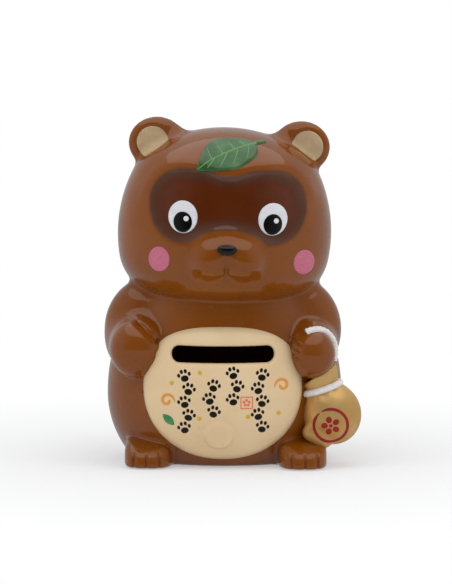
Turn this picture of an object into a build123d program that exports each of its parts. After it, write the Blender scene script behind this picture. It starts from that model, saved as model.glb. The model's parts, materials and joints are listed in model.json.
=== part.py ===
"""A seated tanuki coin bank in glazed ceramic, 150 mm tall.

The frame has +Z up and the face towards -Y. The origin is on the table, below the body's axis.
Left and right are the animal's own, so its left hand, which holds the lucky bag, is at +X.
All sizes are millimetres and degrees.
"""

import os
from math import cos, radians

from build123d import *

# Ceramic wall, and the coat of coloured glaze that the painted areas add to it
wall = 3.5
floor_thickness = 5.0
glaze_coat = 0.6
cut_overrun = 5.0

# Torso, which widens to its haunches and closes under the head
torso_half_width = 51.2
torso_half_depth = 41.0
torso_widest_height = 29.0
torso_rise = 62.0
torso_flank_radius = 75.0
torso_crown_radius = 66.0
torso_shoulder_radius = 22.0
torso_haunch_radius = 43.2
base_edge_radius = 3.5

# Belly drum, which bulges from the torso's front inside its own outline; margins are to the torso
belly_off_centre = -0.7
belly_side_margin = 11.2
belly_bulge = 5.5
belly_lift = 3.6
belly_height = torso_widest_height + belly_lift
belly_half_width = torso_half_width - belly_side_margin
belly_half_depth = 26.5
belly_half_height = 38.0
belly_reach = torso_half_depth + belly_bulge
panel_side_margin = 16.6
panel_lift = 6.0
panel_half_width = torso_half_width - panel_side_margin
panel_middle_height = torso_widest_height + panel_lift
panel_rise = 26.6
panel_drop = 31.6
panel_side_radius = 60.0
panel_top_radius = 80.0
panel_corner_radius = 12.0

# Coin slot
slot_lift = 15.0
slot_side_margin = 12.6
slot_length = 2 * (panel_half_width - slot_side_margin)
slot_height = 6.8
slot_end_radius = 3.2
slot_level = panel_middle_height + slot_lift
slot_lip_radius = 1.0

# Navel button
navel_off_centre = -1.8
navel_height = 14.0
navel_radius = 6.1
navel_half_thickness = 1.6
navel_sink = 0.4
navel_lean = 21.0

# Rubber stopper and its hole in the base
hole_radius = 13.5
rim_seat_radius = 16.6
rim_seat_depth = 2.8
base_dish_radius = 24.0
base_dish_depth = 0.8
stopper_clearance = 0.25
stopper_length = 9.8
stopper_tip_radius = 12.4
stopper_edge_radius = 0.6
grip_radius = 9.5
grip_depth = 3.2
grip_bar_width = 3.2

# Head, built about its own centre and then set on the torso with a slight lean
head_half_width = 46.6
head_half_depth = 41.0
head_rise = 45.7
head_drop = 33.0
head_side_radius = 62.0
head_crown_radius = 62.0
head_chin_radius = 62.0
head_crown_corner_radius = 30.0
head_chin_corner_radius = 24.0
head_clearance = 8.3
head_height = torso_widest_height + torso_rise + head_clearance
head_forward = 2.0
head_lean = 1.8
neck_radius = 16.0
face_off_centre = 1.2

# Ears, set in from the head's side and top
ear_off_centre = 0.9
ear_side_inset = 15.1
ear_top_inset = 7.5
ear_spread = head_half_width - ear_side_inset
ear_height = head_rise - ear_top_inset
ear_set_back = 1.0
ear_half_width = 12.4
ear_half_height = 11.3
ear_half_thickness = 5.2
ear_cup_radius = 7.3
ear_cup_depth = 2.0
ear_chord_offset = 3.0
ear_chord_angle = 36.0

# Mask and eyes
mask_width = 68.6
mask_height = 29.6
mask_corner_radius = 14.2
mask_level = 12.8
eye_spacing = 38.9
eye_level = 9.6
eye_half_width = 6.35
eye_half_height = 6.95
pupil_half_width = 4.1
pupil_half_height = 4.45
pupil_drop = 2.1
glint_radius = 1.2
glint_shift = 1.3
glint_lift = 1.3
cheek_off_centre = 3.4
cheek_spacing = 62.8
cheek_level = -9.4
cheek_half_width = 4.6
cheek_half_height = 5.5

# Muzzle and nose, each standing proud of the head's front
muzzle_half_width = 20.0
muzzle_half_depth = 12.0
muzzle_half_height = 10.5
muzzle_level = -5.4
muzzle_bulge = 3.5
muzzle_reach = head_half_depth + muzzle_bulge
lip_spacing = 16.0
lip_half_width = 9.2
lip_half_depth = 8.0
lip_half_height = 7.2
lip_level = -9.2
lip_bulge = 5.5
lip_reach = head_half_depth + lip_bulge
nose_half_width = 4.3
nose_half_depth = 2.6
nose_half_height = 2.4
nose_level = -2.8
nose_bulge = 7.0
nose_reach = head_half_depth + nose_bulge

# Leaf on the forehead
leaf_off_centre = -0.5
leaf_length = 31.4
leaf_half_width = 9.6
leaf_stem_length = 6.0
leaf_stem_width = 1.5
leaf_thickness = 1.0
leaf_slope = 55.0
leaf_turn = 36.0
leaf_front_inset = 11.9
leaf_top_inset = 9.6
leaf_forward = head_half_depth - leaf_front_inset
leaf_level = head_rise - leaf_top_inset

# Arms, each an upper arm, a forearm and a paw, set in from the torso's side, front and top
shoulder_height = torso_widest_height + torso_rise
upper_arm_side_inset = 19.2
upper_arm_front_inset = 36.0
upper_arm_drop = 34.0
upper_arm_spread = torso_half_width - upper_arm_side_inset
upper_arm_forward = torso_half_depth - upper_arm_front_inset
upper_arm_height = shoulder_height - upper_arm_drop
upper_arm_half_width = 20.3
upper_arm_half_depth = 16.0
upper_arm_half_height = 23.0
forearm_side_inset = 12.7
forearm_front_inset = 23.0
forearm_drop = 6.0
forearm_spread = torso_half_width - forearm_side_inset
forearm_forward = torso_half_depth - forearm_front_inset
forearm_height = upper_arm_height - forearm_drop
forearm_half_width = 10.8
forearm_half_length = 19.0
forearm_half_height = 11.6
forearm_turn = 12.0
paw_side_inset = 14.0
paw_front_inset = 10.5
paw_drop = 1.2
paw_spread = torso_half_width - paw_side_inset
paw_forward = torso_half_depth - paw_front_inset
paw_height = forearm_height - paw_drop
paw_half_width = 9.8
paw_half_length = 11.0
paw_half_height = 10.9
finger_groove_width = 0.8
finger_groove_depth = 0.7
finger_groove_length = 5.5
finger_groove_pitch = 3.4
finger_groove_rise = 2.2

# Feet
foot_off_centre = 0.8
foot_side_inset = 18.2
foot_front_inset = 12.4
foot_spread = torso_half_width - foot_side_inset
foot_forward = torso_half_depth - foot_front_inset
foot_half_width = 11.0
foot_half_length = 15.6
foot_rise = 13.4
foot_turn = 6.0
toe_groove_width = 0.9
toe_groove_depth = 0.8
toe_groove_height = 6.5
toe_groove_pitch = 5.4
toe_grooves = 3

# Tail
tail_back_inset = 5.0
tail_height = 13.0
tail_back = torso_half_depth - tail_back_inset
tail_half_width = 11.0
tail_half_length = 15.0
tail_half_thickness = 9.0
tail_lean = 30.0

# Lucky bag, built about its own centre and then hung below the left paw
bag_side_inset = 5.0
bag_front_inset = 14.5
bag_drop = 27.4
bag_spread = torso_half_width - bag_side_inset
bag_forward = torso_half_depth - bag_front_inset
bag_height = paw_height - bag_drop
bag_lean = 18.0
bag_half_width = 13.2
bag_half_depth = 12.0
bag_half_height = 13.6
bag_neck_radius = 7.0
bag_neck_rise = 11.9
collar_radius = 8.6
collar_height = 6.0
collar_cup_radius = 5.6
collar_cup_depth = 2.4
gather_count = 12
gather_radius = 0.9
tie_thickness = 2.7

# White cord that rises from the bag and passes over the left paw
cord_side_shift = 0.2
cord_front_shift = 0.5
cord_lift = 0.6
cord_spread = paw_spread - cord_side_shift
cord_forward = paw_forward + cord_front_shift
cord_height = paw_height + cord_lift
cord_thickness = 3.5
cord_loop_radius = 12.2
cord_start = -14.0
cord_sweep = 118.0
cord_turn = 20.0

SIDES = {"left": 1, "right": -1}
os.makedirs("parts", exist_ok=True)


def half_lobe(half_width, reach, side_radius, end_radius, corner_radius):
    """Quarter outline on one side of a form's widest line: side arc, rounded corner, end arc."""
    with BuildSketch() as lobe:
        with Locations((half_width - side_radius, 0)):
            Circle(side_radius)
        with Locations((0, reach - end_radius)):
            Circle(end_radius, mode=Mode.INTERSECT)
        with Locations((half_width, reach)):
            Rectangle(2 * half_width, 2 * reach, mode=Mode.INTERSECT)
        corner = lobe.vertices().sort_by_distance((half_width, reach))[0]
        fillet(corner, corner_radius)
    return lobe.sketch


def turned(outline, depth_ratio):
    """An upright outline turned about the height axis, then narrowed from front to back."""
    with BuildPart() as form:
        with BuildSketch(Plane.XZ):
            add(outline)
        revolve(axis=Axis.Z)
        scale(by=(1, depth_ratio, 1))
    return form.part


def torso_form(inset, floor, edge_radius=base_edge_radius):
    """The torso as a solid that stands on a flat floor, with its outline moved in by inset."""
    half_width = torso_half_width - inset
    haunch_radius = torso_haunch_radius - inset
    depth = torso_widest_height - floor
    upper = half_lobe(
        half_width,
        torso_rise - inset,
        torso_flank_radius - inset,
        torso_crown_radius - inset,
        torso_shoulder_radius - inset,
    )
    with BuildSketch() as lower:
        with Locations((half_width - haunch_radius, 0)):
            Circle(haunch_radius)
        with Locations((half_width, -depth / 2)):
            Rectangle(2 * half_width, depth, mode=Mode.INTERSECT)
        if edge_radius > 0:
            corner = lower.vertices().sort_by_distance((half_width, -depth))[0]
            fillet(corner, edge_radius)
    with BuildSketch() as outline:
        add(upper)
        add(lower.sketch)
    form = turned(outline.sketch, torso_half_depth / torso_half_width)
    return form.moved(Location((0, 0, torso_widest_height)))


def head_outline(grow):
    """Half outline of the head, moved out by grow: crown, side and chin arcs, corners rounded."""
    half_width = head_half_width + grow
    side_radius = head_side_radius + grow
    crown_radius = head_crown_radius + grow
    chin_radius = head_chin_radius + grow
    rise = head_rise + grow
    drop = head_drop + grow
    with BuildSketch() as outline:
        with Locations(Location((half_width - side_radius, 0, 0), (0, 0, 180))):
            Circle(side_radius)
        with Locations((0, rise - crown_radius)):
            Circle(crown_radius, mode=Mode.INTERSECT)
        with Locations((0, chin_radius - drop)):
            Circle(chin_radius, mode=Mode.INTERSECT)
        with Locations((half_width, 0)):
            Rectangle(2 * half_width, 4 * rise, mode=Mode.INTERSECT)
        crown_corner = outline.vertices().sort_by_distance((half_width, rise))[0]
        fillet(crown_corner, head_crown_corner_radius + grow)
        chin_corner = outline.vertices().sort_by_distance((half_width, -drop))[0]
        fillet(chin_corner, head_chin_corner_radius + grow)
    return outline.sketch


def head_layer(inner, outer):
    """One layer of the head between two growths of its outline, in the head's own frame."""
    with BuildSketch() as band:
        add(head_outline(outer))
        add(head_outline(inner), mode=Mode.SUBTRACT)
    return turned(band.sketch, head_half_depth / head_half_width)


def ellipsoid(half_width, half_depth, half_height):
    """A unit ball stretched to three half sizes, with its poles out to the sides."""
    with BuildPart() as ball:
        Sphere(1, rotation=(0, 90, 0))
        scale(by=(half_width, half_depth, half_height))
    return ball.part


def front_prism(outline, reach):
    """An upright outline drawn out from the middle towards the front."""
    with BuildPart() as prism:
        with BuildSketch(Plane.XZ):
            add(outline)
        extrude(amount=reach)
    return prism.part


def on_face(outline, coat):
    """An area of glaze on the face; coat 0 lies on the ceramic and each next one on the last."""
    with BuildPart() as area:
        add(front_prism(outline, 2 * head_half_depth))
        add(head_layer(coat * glaze_coat, (coat + 1) * glaze_coat), mode=Mode.INTERSECT)
    return area.part


def save(piece, name, place=Location()):
    """Label a finished piece, put it in its place and write its file."""
    solid = piece.part.moved(place)
    solid.label = name
    export_step(solid, f"parts/{name}.step")


def mould_halves(cast):
    """The front and back halves of a cast shell, parted at the seam of its two-part mould."""
    halves = {}
    for name, kept in (("front", Keep.TOP), ("back", Keep.BOTTOM)):
        with BuildPart() as half:
            add(cast.part)
            split(bisect_by=Plane.XZ, keep=kept)
        halves[name] = half
    return halves


# Forms that seat the pieces on each other
HEAD_PLACE = Location((0, -head_forward, head_height), (0, head_lean, 0))
torso_outside = torso_form(0, 0)
torso_unrounded = torso_form(0, 0, 0)
head_outside = turned(head_outline(0), head_half_depth / head_half_width)
head_on_torso = head_outside.moved(HEAD_PLACE)

# Outline of the belly drum: flat-topped above its middle line, an ellipse below it
panel_shoulder = half_lobe(
    panel_half_width, panel_rise, panel_side_radius, panel_top_radius, panel_corner_radius
)
with BuildSketch() as panel_outline:
    Ellipse(panel_half_width, panel_drop)
    with Locations((0, panel_drop)):
        Rectangle(2 * panel_half_width, 2 * panel_drop, mode=Mode.SUBTRACT)
    add(panel_shoulder)
    add(mirror(panel_shoulder, about=Plane.YZ, mode=Mode.PRIVATE))

# Belly ball, its hollow, and the drum as a solid block
belly_centre = (belly_off_centre, belly_half_depth - belly_reach, belly_height)
belly_ball = ellipsoid(belly_half_width, belly_half_depth, belly_half_height)
belly_void = ellipsoid(belly_half_width - wall, belly_half_depth - wall, belly_half_height - wall)
with BuildPart() as belly_hollow:
    add(belly_void.moved(Location(belly_centre)))
    split(bisect_by=Plane.XY.offset(floor_thickness), keep=Keep.TOP)
with BuildPart() as belly_block:
    add(front_prism(panel_outline.sketch, 2 * belly_reach).moved(
        Location((belly_off_centre, -belly_reach / 4, panel_middle_height))
    ))
    add(belly_ball.moved(Location(belly_centre)), mode=Mode.INTERSECT)

# Coin slot cutter
with BuildSketch() as slot_outline:
    RectangleRounded(slot_length, slot_height, slot_end_radius)
slot_cutter = front_prism(slot_outline.sketch, 2 * belly_reach).moved(
    Location((belly_off_centre, 0, slot_level))
)

# Base plate that closes the torso below, with a shallow dish and the stopper's stepped hole
with BuildPart() as base_plate:
    add(torso_outside)
    split(bisect_by=Plane.XY.offset(floor_thickness), keep=Keep.BOTTOM)
    Cylinder(base_dish_radius, 2 * base_dish_depth, mode=Mode.SUBTRACT)
    Cylinder(rim_seat_radius, 2 * rim_seat_depth, mode=Mode.SUBTRACT)
    Cylinder(hole_radius, 2 * floor_thickness + cut_overrun, mode=Mode.SUBTRACT)
save(base_plate, "base_plate")

# Torso shell, which stands on the base plate and is open at the neck and the belly
with BuildPart() as torso_cast:
    add(torso_outside)
    add(torso_form(wall, floor_thickness), mode=Mode.SUBTRACT)
    split(bisect_by=Plane.XY.offset(floor_thickness), keep=Keep.TOP)
    add(belly_hollow.part, mode=Mode.SUBTRACT)
    add(head_on_torso, mode=Mode.SUBTRACT)
    add(slot_cutter, mode=Mode.SUBTRACT)
torso_halves = mould_halves(torso_cast)
save(torso_halves["front"], "torso_shell")
save(torso_halves["back"], "torso_rear")

# Belly drum with the lip of its slot rounded
with BuildPart() as belly_drum:
    add(belly_block.part)
    add(torso_outside, mode=Mode.SUBTRACT)
    add(belly_hollow.part, mode=Mode.SUBTRACT)
    add(slot_cutter, mode=Mode.SUBTRACT)
    drum_front = belly_drum.faces().sort_by(SortBy.AREA)[-1]
    fillet(drum_front.inner_wires()[0].edges(), slot_lip_radius)
save(belly_drum, "belly_drum")

# Navel button, set square to the drum and sunk a little into it
navel_angle = radians(navel_lean)
navel_place = Location(
    (
        navel_off_centre,
        belly_half_depth * (1 - cos(navel_angle)) - belly_reach + navel_sink,
        navel_height,
    ),
    (navel_lean, 0, 0),
)
with BuildPart() as navel:
    add(ellipsoid(navel_radius, navel_half_thickness, navel_radius).moved(navel_place))
    add(belly_block.part, mode=Mode.SUBTRACT)
save(navel, "navel")

# Head shell, open at the neck
with BuildPart() as head_cast:
    add(head_layer(-wall, 0))
    with Locations((0, 0, -head_drop)):
        Cylinder(neck_radius, 2 * head_drop, mode=Mode.SUBTRACT)
head_halves = mould_halves(head_cast)
save(head_halves["front"], "head_shell", HEAD_PLACE)
save(head_halves["back"], "head_rear", HEAD_PLACE)

# Ears with a cupped front, each lined with a matt patch cut straight on the head's side
for name, side in SIDES.items():
    ear_place = Location((ear_off_centre + side * ear_spread, ear_set_back, ear_height))
    with BuildSketch() as cup_outline:
        Circle(ear_cup_radius)
        with Locations(Location((0, 0, 0), (0, 0, -side * ear_chord_angle))):
            with Locations((0, -ear_chord_offset - ear_cup_radius)):
                Rectangle(4 * ear_cup_radius, 2 * ear_cup_radius, mode=Mode.SUBTRACT)
    cup = front_prism(cup_outline.sketch, 2 * ear_half_thickness)
    cup_floor = ear_half_thickness - ear_cup_depth
    with BuildPart() as ear:
        add(ellipsoid(ear_half_width, ear_half_thickness, ear_half_height))
        add(cup.moved(Location((0, -cup_floor, 0))), mode=Mode.SUBTRACT)
        add(head_outside.moved(ear_place.inverse()), mode=Mode.SUBTRACT)
    save(ear, f"ear_{name}", HEAD_PLACE * ear_place)
    with BuildPart() as ear_lining:
        with BuildSketch(Plane.XZ.offset(cup_floor)):
            add(cup_outline.sketch)
        extrude(amount=glaze_coat)
        add(head_outside.moved(ear_place.inverse()), mode=Mode.SUBTRACT)
    save(ear_lining, f"ear_lining_{name}", HEAD_PLACE * ear_place)

# Muzzle, two lips and nose, all seated on the head
muzzle_ball = ellipsoid(muzzle_half_width, muzzle_half_depth, muzzle_half_height)
lip_ball = ellipsoid(lip_half_width, lip_half_depth, lip_half_height)
lip_back = lip_half_depth - lip_reach
muzzle_place = Location((face_off_centre, muzzle_half_depth - muzzle_reach, muzzle_level))
with BuildPart() as muzzle_block:
    add(muzzle_ball.moved(muzzle_place))
    for side in SIDES.values():
        lip_place = (face_off_centre + side * lip_spacing / 2, lip_back, lip_level)
        add(lip_ball.moved(Location(lip_place)))
with BuildPart() as muzzle:
    add(muzzle_block.part)
    add(head_outside, mode=Mode.SUBTRACT)
save(muzzle, "muzzle", HEAD_PLACE)

with BuildPart() as nose:
    add(ellipsoid(nose_half_width, nose_half_depth, nose_half_height).moved(
        Location((face_off_centre, nose_half_depth - nose_reach, nose_level))
    ))
    add(muzzle_block.part, mode=Mode.SUBTRACT)
save(nose, "nose", HEAD_PLACE)

# Leaf laid on the forehead with its tip towards the right eye
leaf_arc_radius = (leaf_length**2 / 4 + leaf_half_width**2) / (2 * leaf_half_width)
with BuildSketch() as leaf_outline:
    with Locations((0, leaf_half_width - leaf_arc_radius)):
        Circle(leaf_arc_radius)
    with Locations((0, leaf_arc_radius - leaf_half_width)):
        Circle(leaf_arc_radius, mode=Mode.INTERSECT)
    with Locations((leaf_length / 2, 0)):
        Rectangle(2 * leaf_stem_length, leaf_stem_width)
leaf_place = Location(
    (leaf_off_centre, -leaf_forward, leaf_level), (-leaf_slope, 0, 0)
) * Location((0, head_rise / 4, 0), (0, -leaf_turn, 0))
with BuildPart() as leaf:
    add(front_prism(leaf_outline.sketch, head_rise / 2).moved(leaf_place))
    add(head_layer(0, leaf_thickness), mode=Mode.INTERSECT)
save(leaf, "leaf", HEAD_PLACE)

# Dark mask, which the muzzle and the leaf's tip rise through
with BuildSketch() as mask_outline:
    with Locations((face_off_centre, mask_level)):
        RectangleRounded(mask_width, mask_height, mask_corner_radius)
with BuildPart() as face_mask:
    add(on_face(mask_outline.sketch, 0))
    add(muzzle_ball.moved(muzzle_place), mode=Mode.SUBTRACT)
    add(leaf.part, mode=Mode.SUBTRACT)
save(face_mask, "face_mask", HEAD_PLACE)

# Eyes, pupils, glints and cheeks
for name, side in SIDES.items():
    eye_across = face_off_centre + side * eye_spacing / 2
    pupil_level = eye_level - pupil_drop
    with BuildSketch() as eye_outline:
        with Locations((eye_across, eye_level)):
            Ellipse(eye_half_width, eye_half_height)
    with BuildSketch() as pupil_outline:
        with Locations((eye_across, pupil_level)):
            Ellipse(pupil_half_width, pupil_half_height)
    with BuildSketch() as glint_outline:
        with Locations((eye_across + glint_shift, pupil_level + glint_lift)):
            Circle(glint_radius)
    with BuildSketch() as cheek_outline:
        with Locations((cheek_off_centre + side * cheek_spacing / 2, cheek_level)):
            Ellipse(cheek_half_width, cheek_half_height)
    with BuildPart() as eye:
        add(on_face(eye_outline.sketch, 1))
    save(eye, f"eye_{name}", HEAD_PLACE)
    with BuildPart() as pupil:
        add(on_face(pupil_outline.sketch, 2))
    save(pupil, f"pupil_{name}", HEAD_PLACE)
    with BuildPart() as glint:
        add(on_face(glint_outline.sketch, 3))
    save(glint, f"eye_glint_{name}", HEAD_PLACE)
    with BuildPart() as cheek:
        add(on_face(cheek_outline.sketch, 0))
    save(cheek, f"cheek_{name}", HEAD_PLACE)

# Arms: upper arm, forearm and paw run together, with two short grooves between the fingers
upper_arm_ball = ellipsoid(upper_arm_half_width, upper_arm_half_depth, upper_arm_half_height)
forearm_ball = ellipsoid(forearm_half_width, forearm_half_length, forearm_half_height)
paw_ball = ellipsoid(paw_half_width, paw_half_length, paw_half_height)
paw_core = ellipsoid(
    paw_half_width - finger_groove_depth,
    paw_half_length - finger_groove_depth,
    paw_half_height - finger_groove_depth,
)
arm_blocks = {}
for name, side in SIDES.items():
    paw_place = Location((side * paw_spread, -paw_forward, paw_height))
    with BuildPart() as finger_grooves:
        for number in range(2):
            groove_height = finger_groove_rise + number * finger_groove_pitch - finger_groove_pitch / 2
            with Locations((-side * paw_half_width, -paw_half_length / 2, groove_height)):
                Box(2 * finger_groove_length, 2 * paw_half_length, finger_groove_width)
        add(paw_core, mode=Mode.SUBTRACT)
    with BuildPart() as arm_block:
        add(upper_arm_ball.moved(
            Location((side * upper_arm_spread, -upper_arm_forward, upper_arm_height))
        ))
        add(forearm_ball.moved(
            Location(
                (side * forearm_spread, -forearm_forward, forearm_height),
                (0, 0, -side * forearm_turn),
            )
        ))
        add(paw_ball.moved(paw_place))
        add(finger_grooves.part.moved(paw_place), mode=Mode.SUBTRACT)
    arm_blocks[name] = arm_block.part
    with BuildPart() as arm:
        add(arm_block.part)
        add(torso_outside, mode=Mode.SUBTRACT)
        add(head_on_torso, mode=Mode.SUBTRACT)
        add(belly_block.part, mode=Mode.SUBTRACT)
    save(arm, f"arm_{name}")

# Feet, flat below, with grooves between the toes
with BuildPart() as foot_dome:
    Sphere(1, arc_size1=0, align=(Align.CENTER, Align.CENTER, Align.MIN))
    scale(by=(foot_half_width, foot_half_length, foot_rise))
foot_core = ellipsoid(
    foot_half_width - toe_groove_depth,
    foot_half_length - toe_groove_depth,
    foot_rise - toe_groove_depth,
)
with BuildPart() as toe_cutter:
    with Locations((0, -foot_half_length, toe_groove_height / 2)):
        with GridLocations(toe_groove_pitch, 0, toe_grooves, 1):
            Box(toe_groove_width, 2 * foot_half_width, toe_groove_height)
    add(foot_core, mode=Mode.SUBTRACT)
with BuildPart() as foot_block:
    add(foot_dome.part)
    add(toe_cutter.part, mode=Mode.SUBTRACT)
foot_blocks = {}
for name, side in SIDES.items():
    foot_across = foot_off_centre + side * foot_spread
    foot_place = Location((foot_across, -foot_forward, 0), (0, 0, side * foot_turn))
    foot_blocks[name] = foot_block.part.moved(foot_place)
    with BuildPart() as foot:
        add(foot_blocks[name])
        add(torso_unrounded, mode=Mode.SUBTRACT)
        add(belly_block.part, mode=Mode.SUBTRACT)
    save(foot, f"foot_{name}")

# Tail, pressed against the back
with BuildPart() as tail:
    add(ellipsoid(tail_half_width, tail_half_length, tail_half_thickness).moved(
        Location((0, tail_back, tail_height), (tail_lean, 0, 0))
    ))
    add(torso_outside, mode=Mode.SUBTRACT)
    split(bisect_by=Plane.XY, keep=Keep.TOP)
save(tail, "tail")

# Lucky bag: body and neck, the gathered collar above, and the white tie between them
BAG_PLACE = Location((bag_spread, -bag_forward, bag_height), (0, -bag_lean, 0))
with BuildPart() as bag_block:
    add(ellipsoid(bag_half_width, bag_half_depth, bag_half_height))
    with Locations((0, 0, bag_neck_rise / 2)):
        Cylinder(bag_neck_radius, bag_neck_rise)
with BuildPart() as tie_block:
    with Locations((0, 0, bag_neck_rise)):
        Torus(bag_neck_radius + tie_thickness / 4, tie_thickness / 2)
with BuildPart() as collar_block:
    with Locations((0, 0, bag_neck_rise + collar_height / 2)):
        Cone(bag_neck_radius, collar_radius, collar_height)
    with Locations((0, 0, bag_neck_rise + collar_height)):
        Cone(collar_cup_radius / 2, collar_cup_radius, 2 * collar_cup_depth, mode=Mode.SUBTRACT)
    with Locations((0, 0, bag_neck_rise + collar_height)):
        with PolarLocations(collar_radius + gather_radius / 2, gather_count):
            Cylinder(gather_radius, 2 * collar_height, mode=Mode.SUBTRACT)
bag_blocks = {
    "pouch_tie": tie_block.part,
    "pouch": bag_block.part,
    "pouch_collar": collar_block.part,
}
bag_seats = [torso_outside, belly_block.part, foot_blocks["left"], arm_blocks["left"]]
for name, block in bag_blocks.items():
    with BuildPart() as bag_piece:
        add(block.moved(BAG_PLACE))
        for seat in bag_seats:
            add(seat, mode=Mode.SUBTRACT)
    save(bag_piece, name)
    bag_seats.append(block.moved(BAG_PLACE))

# Cord over the left paw
cord_place = (
    Location((cord_spread, -cord_forward, cord_height), (0, 0, cord_turn))
    * Location((0, 0, 0), (90, 0, 0))
    * Location((0, 0, 0), (0, 0, cord_start))
)
with BuildPart() as cord_ring:
    with BuildSketch(Plane.XZ):
        with Locations((cord_loop_radius, 0)):
            Circle(cord_thickness / 2)
    revolve(axis=Axis.Z, revolution_arc=cord_sweep)
with BuildPart() as shoulder_cord:
    add(cord_ring.part.moved(cord_place))
    for seat in bag_seats:
        add(seat, mode=Mode.SUBTRACT)
save(shoulder_cord, "shoulder_cord")

# Rubber stopper, flush with the base: a rim in its seat, a tapered plug, a grip bar below
with BuildPart() as stopper:
    with BuildSketch(Plane.XZ):
        with BuildLine():
            Polyline(
                (0, 0),
                (rim_seat_radius - stopper_clearance, 0),
                (rim_seat_radius - stopper_clearance, rim_seat_depth),
                (hole_radius - stopper_clearance, rim_seat_depth),
                (stopper_tip_radius, stopper_length),
                (0, stopper_length),
                close=True,
            )
        make_face()
    revolve(axis=Axis.Z)
    with BuildSketch():
        Circle(grip_radius)
        Rectangle(2 * grip_radius, grip_bar_width, mode=Mode.SUBTRACT)
    extrude(amount=grip_depth, mode=Mode.SUBTRACT)
    rim_edges = stopper.edges().filter_by(GeomType.CIRCLE).group_by(SortBy.RADIUS)[-1]
    fillet(rim_edges, stopper_edge_radius)
save(stopper, "stopper")
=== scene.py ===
"""A glazed tanuki coin bank: the soft ceramic form, its painted areas, the lucky bag and a studio.

Shapes are worked out in millimetres as distance fields, negative inside, and made into meshes in
metres. Left and right are the animal's own: its left hand, with the bag, is at +X.
"""

import json
import math

import bpy
import numpy as np
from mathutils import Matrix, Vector

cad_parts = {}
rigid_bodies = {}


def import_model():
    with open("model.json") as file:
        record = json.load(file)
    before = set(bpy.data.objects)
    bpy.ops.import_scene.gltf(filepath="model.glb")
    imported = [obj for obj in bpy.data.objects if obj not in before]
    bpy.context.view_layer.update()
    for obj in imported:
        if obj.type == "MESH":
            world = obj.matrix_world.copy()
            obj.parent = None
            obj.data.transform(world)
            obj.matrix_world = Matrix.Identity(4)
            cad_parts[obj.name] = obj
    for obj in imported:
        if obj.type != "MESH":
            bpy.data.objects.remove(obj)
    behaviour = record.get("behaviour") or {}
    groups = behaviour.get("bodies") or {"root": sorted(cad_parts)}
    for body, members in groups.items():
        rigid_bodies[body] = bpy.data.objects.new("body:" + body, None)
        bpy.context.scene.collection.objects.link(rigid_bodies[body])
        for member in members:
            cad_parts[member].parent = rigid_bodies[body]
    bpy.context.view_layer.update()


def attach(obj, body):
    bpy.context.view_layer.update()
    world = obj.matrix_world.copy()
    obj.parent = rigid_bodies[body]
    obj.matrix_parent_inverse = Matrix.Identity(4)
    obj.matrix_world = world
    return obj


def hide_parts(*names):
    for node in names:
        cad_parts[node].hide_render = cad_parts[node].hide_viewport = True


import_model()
MM = 0.001

# Driving sizes of the figure in millimetres, the same as the solids' except for the chin
TORSO_HALF_WIDTH, TORSO_HALF_DEPTH, TORSO_WIDEST = 51.2, 41.0, 29.0
TORSO_RISE, TORSO_FLANK, TORSO_CROWN, TORSO_HAUNCH = 62.0, 75.0, 66.0, 43.2
HEAD_HALF_WIDTH, HEAD_HALF_DEPTH, HEAD_RISE, HEAD_ARC = 46.6, 41.0, 45.7, 62.0
HEAD_PLACE, HEAD_LEAN = np.array((0.0, -2.0, 99.3)), math.radians(1.8)
CHIN_ARC, CHIN_DROP, CHIN_CORNER = 190.0, 31.8, 15.0
FACE_OFF = 1.2
BELLY_CENTRE, BELLY_HALF = np.array((-0.7, -20.0, 32.6)), np.array((40.0, 26.5, 38.0))
PANEL_HALF_WIDTH, PANEL_MIDDLE, PANEL_RISE, PANEL_DROP = 34.6, 35.0, 26.6, 31.6
SLOT_HALF = (22.0, 3.4)
SLOT_CENTRE = (-0.7, 50.0)
WALL, FLOOR = 3.5, 5.0
# The steps of the base hole from below: radius, depth and softness of the edge
BASE_STEPS = ((24.0, 0.8, 0.4), (16.95, 2.85, 0.3), (13.85, 2 * FLOOR, 0.3))
BAG_PLACE, BAG_LEAN = np.array((46.2, -26.5, 22.4)), math.radians(18.0)


def turn_about(axis, angle):
    """Rotation matrix by the right-hand rule about a row axis."""
    c, s = math.cos(angle), math.sin(angle)
    if axis == "X":
        return np.array(((1, 0, 0), (0, c, -s), (0, s, c)))
    if axis == "Y":
        return np.array(((c, 0, s), (0, 1, 0), (-s, 0, c)))
    return np.array(((c, -s, 0), (s, c, 0), (0, 0, 1)))


HEAD_TURN = turn_about("Y", HEAD_LEAN)
BAG_TURN = turn_about("Y", -BAG_LEAN)


def to_head(p):
    """Points of the row frame in the head's own upright frame."""
    return (p - HEAD_PLACE) @ HEAD_TURN


def from_head(q):
    """Points of the head's own frame in the row frame."""
    return q @ HEAD_TURN.T + HEAD_PLACE


# Distance fields


def smooth_min(a, b, k):
    h = np.clip(0.5 + 0.5 * (b - a) / k, 0, 1)
    return b + (a - b) * h - k * h * (1 - h)


def smooth_max(a, b, k):
    return -smooth_min(-a, -b, k)


def smooth_step(low, high, x):
    t = np.clip((x - low) / (high - low), 0, 1)
    return t * t * (3 - 2 * t)


def bell(x, width):
    """A bell curve of height 1 about zero."""
    return np.exp(-((x / width) ** 2))


def mirrored(p, middle):
    """Points with their distance from a middle plane in place of x."""
    return np.stack((np.abs(p[:, 0] - middle), p[:, 1], p[:, 2]), 1)


def ellipsoid(p, centre, half, turn=None):
    """Distance to an ellipsoid; the columns of turn are its axes."""
    q = p - np.asarray(centre)
    if turn is not None:
        q = q @ turn
    u = q / np.asarray(half)
    size = np.sqrt((u * u).sum(1))
    slope = np.sqrt(((u / np.asarray(half)) ** 2).sum(1))
    return (size - 1) * size / np.maximum(slope, 1e-6)


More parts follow.
